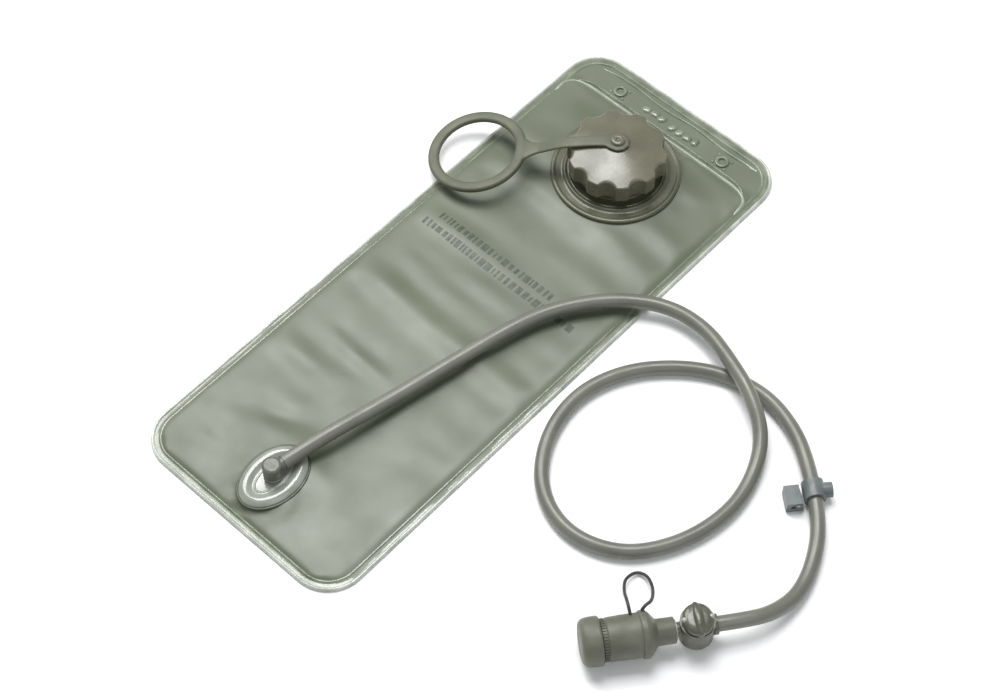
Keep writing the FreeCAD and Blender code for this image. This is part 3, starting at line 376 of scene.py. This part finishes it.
def film_height(x, y):
    """The front film's height before it settles, and how firmly it is held there."""
    edge = edge_distance(x, y)
    weld = 1.25
    if y > HEADER_Y - 1 or edge < 7:
        return weld, 1
    from_port = (Vector((x, y)) - PORT.xy).length
    from_outlet = math.hypot(x / OUTLET_WIDE, (y - OUTLET.y) / OUTLET_LONG)
    if from_port < PORT_FLANGE + 1 or from_outlet < 1.02:
        return FLANGE_FOOT - 0.15, 1
    slope = ease(min(edge - 7, HEADER_Y - 1 - y), 0, 26)
    middle = 2.9 + fold_height(x, y) + 0.7 * noise.noise(Vector((x / 38, y / 38, 3.1)))
    for reach, held in ((from_port - PORT_FLANGE - 1, 34), ((from_outlet - 1.02) * 20, 26)):
        near = 1 - ease(reach, 0, held)
        middle += (FLANGE_FOOT - 0.3 - middle) * near
    return weld + (middle - weld) * slope, 0


def bag_grid(step=3.6, inset=1.6):
    """Rows of points over the bag's outline, drawn in from its edge."""
    straight = BAG_LENGTH / 2 - BAG_CORNER
    levels = [straight * (2 * index / 104 - 1) for index in range(105)]
    corner = [straight + (BAG_CORNER - inset) * math.sin(math.radians(a)) for a in range(11, 91, 9)]
    levels = [-y for y in reversed(corner)] + levels + corner
    columns = int(BAG_WIDTH / step)
    rows = []
    for y in levels:
        reach = half_width(math.copysign(abs(y) * BAG_LENGTH / 2 / (BAG_LENGTH / 2 - inset), y)) - inset
        rows.append([(reach * (2 * index / columns - 1), y) for index in range(columns + 1)])
    return rows


def settle(piece, held, frames=24):
    """Lets the film settle under its own weight with cloth simulation, onto a plate just under it."""
    group = piece.vertex_groups.new(name="held")
    group.add(held, 1.0, "REPLACE")
    plate = add_piece("plate", [(-120, -250, 0.95), (120, -250, 0.95), (120, 250, 0.95), (-120, 250, 0.95)],
                      [(0, 1, 2, 3)], FILM)
    plate.modifiers.new("collision", "COLLISION")
    plate.collision.thickness_outer = 0.0005
    cloth = piece.modifiers.new("cloth", "CLOTH")
    settings = cloth.settings
    settings.quality = 6
    settings.mass = 0.25
    settings.tension_stiffness = settings.compression_stiffness = 28
    settings.shear_stiffness = 14
    settings.bending_stiffness = 40.0
    settings.vertex_group_mass = "held"
    settings.shrink_min = -0.002
    settings.effector_weights.gravity = 0.1
    cloth.collision_settings.distance_min = 0.0005
    for number in range(1, frames + 1):
        scene.frame_set(number)
    evaluated = piece.evaluated_get(bpy.context.evaluated_depsgraph_get())
    moved = [vertex.co.copy() for vertex in evaluated.data.vertices]
    piece.modifiers.remove(cloth)
    bpy.data.objects.remove(plate)
    for vertex, target in zip(piece.data.vertices, moved):
        start = vertex.co.copy()
        shift = target - start
        if shift.length > 0.008:
            shift = shift.normalized() * 0.008
        vertex.co = start + shift
    scene.frame_set(1)


def smooth_piece(piece, levels=1):
    """One level of subdivision, kept in the mesh's modifier list."""
    modifier = piece.modifiers.new("smooth", "SUBSURF")
    modifier.levels = modifier.render_levels = levels


def make_films():
    """The front film, settled, and the flat back film."""
    rows, held = [], []
    number = 0
    for row in bag_grid():
        line = []
        for x, y in row:
            height, firm = film_height(x, y)
            if firm:
                held.append(number)
            line.append((x, y, height))
            number += 1
        rows.append(line)
    points, faces = skin(rows, around=False)
    front = add_piece("film_front", points, faces, FILM, slot="film")
    settle(front, held)
    for vertex in front.data.vertices:
        vertex.co.z = max(vertex.co.z, 1.15 * MM)
    smooth_piece(front)
    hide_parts("front_film")
    flat = [[(x, y, 0.35 + 0.25 * ease(edge_distance(x, y), 0, 6)) for x, y in row] for row in bag_grid(8)]
    points, faces = skin(flat, around=False)
    back = add_piece("film_back", points, [face[::-1] for face in faces], FILM_BACK, slot="film")
    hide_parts("back_film")
    return front


def make_edge():
    """The glossy bead all round the edge and the flat weld inside it."""
    bead = [(2.5, 0.55), (1.2, 0.15), (0.35, 0.35), (0.0, 1.0), (0.25, 1.75), (0.95, 2.3), (1.7, 2.2),
            (2.25, 1.65), (2.5, 1.2)]
    weld = [(2.3, 1.30), (2.9, 1.28), (4.6, 1.34), (5.2, 1.50), (5.7, 1.95), (6.3, 2.1), (6.9, 1.9),
            (7.4, 1.45), (7.8, 1.1)]
    for name, profile, material, slot in (("edge_bead", bead, BEAD, "film_edge"),
                                          ("edge_band", weld, WELD, "film_edge")):
        rows = []
        for inset, height in soften(profile, 0.3, 2):
            loop = round_loop(inset)
            rows.append([(p.x, p.y,
                          height + 0.10 * noise.noise(Vector((p.x / 14, p.y / 14, 9)))) for p in loop])
        points, faces = skin(rows)
        piece = add_piece(name, points, faces, material, slot=slot)
        if name == "edge_bead":
            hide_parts("edge_weld")


def ridge_along(name, path, half, rise, foot, material):
    """A low rounded ridge along a plan path."""
    rows = []
    for index, point in enumerate(path):
        before, after = path[max(index - 1, 0)], path[min(index + 1, len(path) - 1)]
        along = (after - before).normalized()
        side = Vector((-along.y, along.x))
        fade = ease(min(index, len(path) - 1 - index), 0, 5)
        row = []
        for step in range(9):
            across = step / 4 - 1
            place = point + side * half * across
            row.append((place.x, place.y, foot - 0.2 + (rise * fade + 0.2) * math.cos(across * math.pi / 2)))
        rows.append(row)
    points, faces = skin(rows, around=False)
    return add_piece(name, points, faces, material, slot="film_edge")


def make_header():
    """The welded strip above the filler: its weld line, its embossed marks and the two eyelets."""
    line = [Vector(p) for p in soften([(-78.5, 160), (-78.5, 185, 20), (78.5, 185, 20), (78.5, 160)],
                                      steps=14)]
    path = []
    for start, end in zip(line, line[1:]):
        steps = max(int((end - start).length / 3), 1)
        path += [start.lerp(end, step / steps) for step in range(steps)]
    path.append(line[-1])
    first = ridge_along("header_weld", path, 2.0, 1.9, 1.3, SEAM)
    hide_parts("header_strip")
    inner = [Vector((p.x * 0.955, p.y + 3.8 if p.y > 168 else p.y)) for p in path]
    inner = [p for p in inner if p.y > 172]
    ridge_along("header_weld_upper", inner, 1.2, 1.2, 1.3, WELD)
    outer = [Vector((x, 205.5 + 0.8 * math.sin(x / 9))) for x in range(-68, 69, 3)]
    ridge_along("header_weld_top", outer, 1.4, 0.9, 1.3, WELD)

    def oblong(radius, height, angle):
        return radius * (0.62 + 0.30 * abs(math.cos(angle))), height

    for index in range(7):
        x, y = -21.0 + 6.4 * index + (3.6 if index > 2 else 0), 196.6 + random.uniform(-1.2, 1.2)
        rise = [(0.01, 2.9), (1.8, 2.8, 0.8), (3.2, 2.4, 0.8), (4.2, 1.2)]
        turned("header_mark_%d" % index, soften(rise, 0.4, 2),
               Matrix.Translation((x, y, 0)) @ Matrix.Rotation(random.uniform(0, 2), 4, "Z"), WELD,
               segments=40, reshape=oblong, slot="film_edge")
    eyelet = [(2.5, 0.1), (2.5, 2.2, 0.3), (2.9, 2.7, 0.3), (4.3, 2.7, 0.4), (4.8, 2.3, 0.3), (4.9, 1.2)]
    for index, (x, y) in enumerate(EYELETS):
        ring = turned("eyelet_%d" % index, soften(eyelet, 0.3), Matrix.Translation((x, y, 0)), WELD,
                      segments=48, slot="clear_plastic")
        if index == 0:
            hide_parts("hanger_eyelets")
        for side in range(4):
            angle = math.pi / 4 + side * math.pi / 2
            spot = Matrix.Translation((x + 7.2 * math.cos(angle), y + 5.6 * math.sin(angle), 0))
            turned("eyelet_mark_%d_%d" % (index, side),
                   soften([(0.01, 2.1), (0.9, 1.95, 0.3), (1.5, 1.2)], 0.3, 2), spot, WELD, segments=20,
                   reshape=oblong, slot="film_edge")


def make_print(front):
    """Two rows of plain printed blocks on the film, with no lettering."""
    tree = BVHTree.FromObject(front, bpy.context.evaluated_depsgraph_get())
    points, faces = [], []
    for base, start, end in ((36.0, -62, 36), (26.0, -68, 58)):
        x = start
        while x < end:
            width = random.uniform(1.0, 4.6)
            height = random.choice((5.6, 5.6, 4.4))
            lean = random.uniform(-0.3, 0.3)
            steps = 3
            first = len(points)
            for j in range(steps + 1):
                for i in range(2):
                    px, py = x + width * i + lean * j / steps, base + height * (j / steps - 0.5)
                    hit = tree.ray_cast(Vector((px, py, 60)) * MM, Vector((0, 0, -1)))[0]
                    points.append((px, py, (hit.z / MM if hit else 3) + 0.12))
            for j in range(steps):
                a = first + 2 * j
                faces.append((a, a + 1, a + 3, a + 2))
            x += width + random.uniform(1.1, 2.4)
    add_piece("print_marks", points, faces, PRINT)


# ---------------------------------------------------------------- filler port, cap and tether

LOBES = 10
CAP_RADIUS = 33.0
SCALLOP = 8.0
SCALLOP_DEPTH = 3.5
CAP_PHASE = 11.2
LOBE_ROUND = 0.3


def scalloped(radius, angle, share):
    """The cap's radius with its scallops cut in, share of their full depth."""
    sector = 2 * math.pi / LOBES
    off = (angle - math.radians(CAP_PHASE) + sector / 2) % sector - sector / 2
    centre = CAP_RADIUS + SCALLOP - SCALLOP_DEPTH
    inside = max(SCALLOP ** 2 - (centre * math.sin(off)) ** 2, 0)
    depth = CAP_RADIUS - (centre * math.cos(off) - math.sqrt(inside))
    return radius - (depth + math.sqrt(depth * depth + LOBE_ROUND)) / 2 * share


def helix_ridge(name, radius, depth, foot, turns, material, body):
    """A screw thread's ridge round the filler's axis."""
    rows = []
    steps = 96
    for index in range(int(turns * steps) + 1):
        angle = 2 * math.pi * index / steps
        fade = ease(min(index, turns * steps - index), 0, 10)
        low = foot + 6 * index / steps
        row = []
        for out, up in ((-0.2, 0), (depth * 0.8, 0.5), (depth, 0.8), (depth, 1.4), (depth * 0.8, 1.7),
                        (-0.2, 2.2)):
            r = radius + (out * fade if out > 0 else out)
            row.append(PORT + Vector((r * math.cos(angle), r * math.sin(angle), low + up)))
        rows.append(row)
    points, faces = skin(rows, around=False)
    return add_piece(name, points, faces, material, body, slot="olive_plastic")


def make_port():
    """The flange with its raised ring, and the threaded neck."""
    z = FLANGE_FOOT
    profile = [(22.5, z), (PORT_FLANGE, z + 0.05, 0.2), (PORT_FLANGE, z + 1.6, 0.5),
               (PORT_FLANGE - 0.9, z + 2.5, 0.7), (PORT_FLANGE - 2.6, z + 2.5, 0.4),
               (PORT_FLANGE - 3.2, z + 2.0, 0.5), (36.4, z + 2.1, 0.8), (35.2, z + 2.6, 0.5),
               (34.6, z + 3.6, 0.5), (33.6, z + 3.7, 0.4), (32.4, z + 3.3, 0.5), (31.3, z + 3.7, 0.4),
               (30.6, z + 2.6, 0.4), (26.6, z + 2.5, 1.0), (25.5, z + 3.3, 0.5), (25.5, 26.5, 0.7),
               (22.5, 26.5, 0.7), (22.5, z + 0.1)]
    port = turned("filler_port_body", soften(profile, 0.5), Matrix.Translation(PORT), OLIVE, segments=128,
                  slot="olive_plastic")
    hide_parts("filler_port")
    helix_ridge("filler_port_thread", 25.5, 1.6, z + 3.5, 2, OLIVE, "root")


def make_cap():
    """The scalloped screw cap with its domed top, and the rivet in its middle."""
    foot, top, crest, crown, edge, bulge = 16.0, 30.5, 36.5, 8.2, 32.2, 0.4

    def dome(radius):
        t = min(max((radius - crown) / (edge - crown), 0), 1)
        return crest + (top - crest) * t + bulge * 4 * t * (1 - t)

    profile = [(27.6, foot + 12), (27.4, foot + 0.6, 0.4), (28.0, foot, 0.5), (32.2, foot, 0.8),
               (33.0, foot + 1.0, 0.6), (33.0, top - 0.9, 0.5)]
    profile = soften(profile, 0.5, 5) + [(32.85, top - 0.4), (32.5, top - 0.05)]
    profile += [(radius, top) for radius in (32, 31, 30, 28, 26, 24, 22, 19, 16, 13, 11, 9.5, 8.6, 8.2, 7,
                                             5, 3.2)]

    def reshape(radius, height, angle):
        rim = scalloped(CAP_RADIUS, angle, 1)
        if height == top:
            short = CAP_RADIUS - rim
            inner = radius - short * ease(radius, 14, 32)
            return inner, dome(inner)
        if height > top - 0.6:
            return rim - (CAP_RADIUS - radius), dome(rim) - (top - height)
        share = 1 if height > foot + 2 else ease(radius, 28.5, 31.5)
        if radius < 28:
            return radius, height
        lift = (dome(rim) - dome(CAP_RADIUS)) * ease(height, foot + 4, top - 0.9)
        return scalloped(radius, angle, share), height + lift

    cap = turned("filler_cap_body", profile, Matrix.Translation(PORT), CAP, "cap", 360, reshape,
                 slot="cap_plastic")
    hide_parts("filler_cap")
    rivet = [(0.01, 40.0), (1.0, 40.0, 0.3), (1.5, 40.75, 0.3), (2.9, 40.9, 0.6), (4.2, 40.6, 0.6),
             (4.75, 39.6, 0.4), (4.6, 39.3, 0.2), (3.0, 39.2, 0.2), (3.0, 33.8), (5.5, 33.7, 0.2),
             (5.4, 32.3), (0.01, 32.3)]
    head = turned("cap_rivet_body", soften(rivet, 0.3), Matrix.Translation(PORT), CAP, "cap_carrier", 64,
                  slot="cap_plastic")
    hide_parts("cap_rivet")


def make_tether():
    """The strap from the cap's rivet down to the tilted ring for the neck, as one soft moulding."""
    place = Matrix.Translation(PORT) @ Matrix.Rotation(math.radians(216.7), 4, "Z")
    # along, height, half width, half thickness
    spine = [(-7.7, 37.9, 3.0, 1.0), (-4.5, 37.9, 6.7, 1.1), (0, 37.9, 8.0, 1.1), (4.5, 37.9, 6.7, 1.1),
             (8, 37.9, 4.7, 1.1), (14, 37.0, 4.5, 1.1), (20, 35.8, 4.4, 1.1), (28, 34.0, 4.4, 1.1),
             (33, 32.8, 4.4, 1.1), (36, 31.8, 4.4, 1.1), (40, 30.0, 4.3, 1.1), (46, 27.0, 4.3, 1.1),
             (52, 24.2, 4.4, 1.15), (57, 22.6, 6.0, 1.3), (61, 21.8, 9.0, 1.5), (65, 21.0, 12.0, 1.6)]
    rows = []
    for index, (along, height, wide, thick) in enumerate(spine):
        before, after = spine[max(index - 1, 0)], spine[min(index + 1, len(spine) - 1)]
        tangent = Vector((after[0] - before[0], 0, after[1] - before[1])).normalized()
        normal = Vector((-tangent.z, 0, tangent.x))
        row = []
        for step in range(20):
            angle = 2 * math.pi * step / 20
            side = math.copysign(abs(math.cos(angle)) ** 0.45, math.cos(angle)) * wide
            rise = math.copysign(abs(math.sin(angle)) ** 0.6, math.sin(angle)) * thick
            point = Vector((along, side, height)) + normal * rise
            row.append(place @ point)
        rows.append(row)
    points, faces = skin(rows)
    faces.append(tuple(reversed(range(20))))
    faces.append(tuple(len(points) - 20 + index for index in range(20)))
    strap = add_piece("tether_body", points, faces, TETHER, "tether", slot="tether_rubber")
    ring = [(26.0, -1.4), (26.4, -2.1, 0.4), (29.5, -2.2, 0.4), (32.9, -2.1, 0.6), (33.5, -1.0, 0.8),
            (33.4, 1.0, 0.8), (32.6, 2.0, 0.8), (29.5, 2.2, 1.2), (26.8, 1.9, 0.8), (26.0, 1.0, 0.5),
            (26.0, -1.4)]
    centre = place @ Matrix.Translation((92.6, 0, 15.3)) @ Matrix.Rotation(math.radians(11.2), 4, "Y")
    loop = turned("tether_loop", soften(ring, 0.4), centre, TETHER, "tether", 128)
    join(strap, loop, 0.55)
    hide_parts("cap_tether")


def join(piece, other, voxel):
    """Melts two overlapping pieces into one moulding with soft inner corners."""
    bpy.context.view_layer.update()
    offset = len(piece.data.vertices)
    points = [v.co / MM for v in piece.data.vertices] + [v.co / MM for v in other.data.vertices]
    faces = [tuple(f.vertices) for f in piece.data.polygons]
    faces += [tuple(index + offset for index in f.vertices) for f in other.data.polygons]
    mesh = piece.data
    bpy.data.objects.remove(other)
    mesh.clear_geometry()
    mesh.from_pydata([Vector(p) * MM for p in points], [], faces)
    mesh.update()
    remesh = piece.modifiers.new("melt", "REMESH")
    remesh.mode, remesh.voxel_size, remesh.use_smooth_shade = "VOXEL", voxel * MM, True
    smooth = piece.modifiers.new("soften", "SMOOTH")
    smooth.factor, smooth.iterations = 0.5, 6


# ---------------------------------------------------------------- outlet and hose

def oval(name, profile, material, long_side, wide_side, slot):
    """A profile of (inset from the edge, height) carried round an oval about the outlet's centre."""
    rows = []
    for inset, height in profile:
        rx, ry = max(wide_side - inset, 0.05), max(long_side - inset, 0.05 * long_side / wide_side)
        row = []
        for index in range(96):
            angle = 2 * math.pi * index / 96
            row.append(OUTLET + Vector((rx * math.cos(angle), ry * math.sin(angle), height)))
        rows.append(row)
    points, faces = skin(rows)
    return add_piece(name, points, faces, material, slot=slot)


def make_outlet():
    """The clear oval outlet with its rings, set in a hollow of the film, and a rim round it darkened with
    painted shade.
    """
    z = FLANGE_FOOT
    plate = [(0, z), (0.2, z + 0.9, 0.4), (1.2, z + 1.9, 0.8), (3.0, z + 3.2, 1.6), (5.4, z + 3.3, 1.8),
             (7.6, z + 2.1, 1.2), (8.8, z + 1.6, 0.6), (9.6, z + 1.6, 0.3), (10.3, z + 2.1, 0.4),
             (11.0, z + 1.6, 0.4), (16.9, z + 1.6)]
    base = oval("outlet_plate", soften(plate, 0.4), CLEAR, OUTLET_LONG, OUTLET_WIDE, "clear_plastic")
    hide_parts("outlet_base")
    # A thin rim round the outlet, dark with painted shade.
    painted_shade_rim = [(-1.5, z - 0.6), (-1.3, z + 0.25, 0.3), (-0.5, z + 0.45, 0.3), (0.2, z + 0.1)]
    oval("outlet_painted_shade_rim", soften(painted_shade_rim, 0.2), PAINTED_SHADE_RIM, OUTLET_LONG, OUTLET_WIDE, "film")


def make_hose():
    """The drink hose on its route."""
    hose = cord_curve("hose", HOSE_ROUTE, 4.75, HOSE)
    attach(hose, "root")
    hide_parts("drink_hose")
    return hose


# ---------------------------------------------------------------- valve, bite valve and its cover

VALVE_START, VALVE_BEFORE = Vector(HOSE_ROUTE[-1]) / MM, Vector(HOSE_ROUTE[-2]) / MM
FLOW_ANGLE = math.atan2(VALVE_START.y - VALVE_BEFORE.y, VALVE_START.x - VALVE_BEFORE.x)
FLOW = Matrix.Translation(VALVE_START) @ Matrix.Rotation(FLOW_ANGLE, 4, "Z")
FLOW_LATHE = FLOW @ Matrix.Rotation(math.pi / 2, 4, "Y")
RIBS = 44


def along_flow(points):
    """A profile of (along, radius) as the (radius, height) that turned takes."""
    return [(point[1], point[0], *point[2:]) for point in points]


def make_cover():
    """The bite valve's cover: a tapered barrel, its band and pull loop, and the end cap."""
    barrel = [(25.2, 6.4), (25, 7.2, 0.3), (25.2, 7.9, 0.4), (36, 7.95, 0.8), (40, 13.15, 1.0), (45, 13.2, 2),
              (56, 13.2, 4), (64.6, 12.9, 0.5), (65.4, 12.2, 0.4), (68, 12.2, 0.3), (68, 11.4)]
    body = turned("cover_barrel_body", soften(along_flow(barrel), 0.4), FLOW_LATHE, COVER, segments=96,
                  slot="cover_plastic")
    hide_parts("cover_barrel")
    band = [(40.8, 12.9), (40.8, 13.9, 0.5), (41.8, 14.3, 0.5), (44.2, 14.3, 0.5), (45.3, 13.9, 0.5),
            (45.3, 12.9)]
    ring = turned("loop_band_body", soften(along_flow(band), 0.4), FLOW_LATHE, COVER, segments=96,
                  slot="tether_rubber")
    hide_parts("loop_band")
    cap = [(68.6, 10.8), (68.5, 14.0, 0.4), (69.4, 14.7, 0.7), (74, 14.75, 3), (78.2, 14.2, 1.5),
           (80.2, 12.6, 1.5), (80.9, 9.6, 1.5), (81.0, 4), (81.0, 0.01)]
    end = turned("cover_cap_body", soften(along_flow(cap), 0.5), FLOW_LATHE, COVER, "dust_cap", 96,
                 slot="cover_plastic")
    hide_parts("cover_cap")
    rows_points, rows_faces = [], []
    for index in range(RIBS):
        angle = 2 * math.pi * index / RIBS
        first = len(rows_points)
        for along in (65.6, 67.8):
            for radius, turn in ((12.0, -0.035), (12.75, -0.02), (12.75, 0.02), (12.0, 0.035)):
                rows_points.append(FLOW_LATHE @ Vector((radius * math.cos(angle + turn),
                                                        radius * math.sin(angle + turn), along)))
        rows_faces += [(first, first + 1, first + 5, first + 4), (first + 1, first + 2, first + 6, first + 5),
                       (first + 2, first + 3, first + 7, first + 6), (first, first + 3, first + 2, first + 1),
                       (first + 4, first + 5, first + 6, first + 7)]
    add_piece("cover_ribs", rows_points, rows_faces, COVER, smooth=False, slot="cover_plastic")
    loop = cord_curve("pull_loop_cord", LOOP_ROUTE, 1.0, CORD, Matrix.Translation(VALVE_START * MM)
                      @ Matrix.Rotation(FLOW_ANGLE, 4, "Z"), 12)
    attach(loop, "root")
    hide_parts("pull_loop")
    return loop


def make_knob():
    """The shut-off knob: a low dome with an upright fin across it and a lug at each end of the slot, the lugs
    pale with a painted glint.
    """
    seat = FLOW @ Matrix.Translation((12, 0, 0))
    disc = [(0.01, 12.9), (6.0, 12.8, 2), (9.2, 11.7, 1.2), (10.2, 10.4, 0.6), (10.25, 8.3, 0.4),
            (9.8, 7.9, 0.2), (2.4, 7.9, 0.2), (0.01, 7.9)]

    def grip(radius, height, angle):
        waist = 0.10 * abs(math.cos(angle)) ** 3 * ease(radius, 6, 10)
        return radius * (1 - waist), height

    knob = turned("valve_knob_body", soften(disc, 0.4), seat, KNOB, "shutoff", 96, grip, slot="valve_plastic")
    rows = []
    for share in (-1, -0.97, -0.88, -0.7, -0.45, -0.2, 0, 0.2, 0.45, 0.7, 0.88, 0.97, 1):
        tall = 9.5 + 5.1 * math.sqrt(max(1 - share ** 2 * 0.93, 0))
        half = 1.2 + 1.2 * math.sqrt(max(1 - share ** 2, 0))
        section = [(-half * 1.25, 8.2), (-half, tall - 1.4), (-half * 0.75, tall - 0.4), (-half * 0.3, tall),
                   (half * 0.3, tall), (half * 0.75, tall - 0.4), (half, tall - 1.4), (half * 1.25, 8.2)]
        rows.append([seat @ Vector((x, 10.9 * share, z)) for x, z in section])
    points, faces = skin(rows)
    faces += [tuple(range(8)), tuple(len(points) - 1 - index for index in range(8))]
    fin = add_piece("valve_fin", points, faces, KNOB, "shutoff", slot="valve_plastic")
    join(knob, fin, 0.35)
    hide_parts("valve_knob")
    # Two small bosses whose pale colour is a painted glint.
    for index, along in enumerate((-8.0, 8.0)):
        lug = [(0.01, 12.9), (1.0, 12.7, 0.4), (1.5, 11.9, 0.4), (1.6, 10.6)]
        turned("valve_painted_glint_%d" % index, soften(lug, 0.3), seat @ Matrix.Translation((along, 0, 0)), PAINTED_GLINT,
               "shutoff", 24, slot="valve_plastic")


def make_valve():
    """Rounds the shut-off valve's own parts."""
    for node, width, material in (("valve_body", 0.6, VALVE), ("valve_plug", 0, VALVE),
                                  ("knob_screw", 0.2, VALVE),
                                  ("valve_seals", 0, SOFT), ("bite_valve", 0, SOFT)):
        bevel_node(node, width, material)


def make_small_parts():
    """The clip, the elbow and the seals keep their CAD shapes with rounded edges."""
    for node, width, material in (
            ("clip_collar", 0.5, CLIP), ("clip_base", 0.5, CLIP), ("clip_jaw", 0.5, CLIP),
            ("clip_pin", 0.1, STEEL),
            ("clip_spring", 0, STEEL), ("outlet_elbow", 0.5, ELBOW), ("outlet_seal", 0, SOFT),
            ("cap_gasket", 0, SOFT)):
        bevel_node(node, width, material)


# ---------------------------------------------------------------- stage and build

def make_floor():
    """The plain pale floor."""
    floor = add_piece("floor",
                      [(-9000, -9000, -0.4), (9000, -9000, -0.4), (9000, 9000, -0.4), (-9000, 9000, -0.4)],
                      [(0, 1, 2, 3)], FLOOR)
    floor.parent = None


film_front = make_films()
make_edge()
make_header()
make_print(film_front)
make_port()
make_cap()
make_tether()
make_outlet()
drink_hose = make_hose()
make_valve()
make_knob()
pull_loop = make_cover()
make_small_parts()
make_floor()
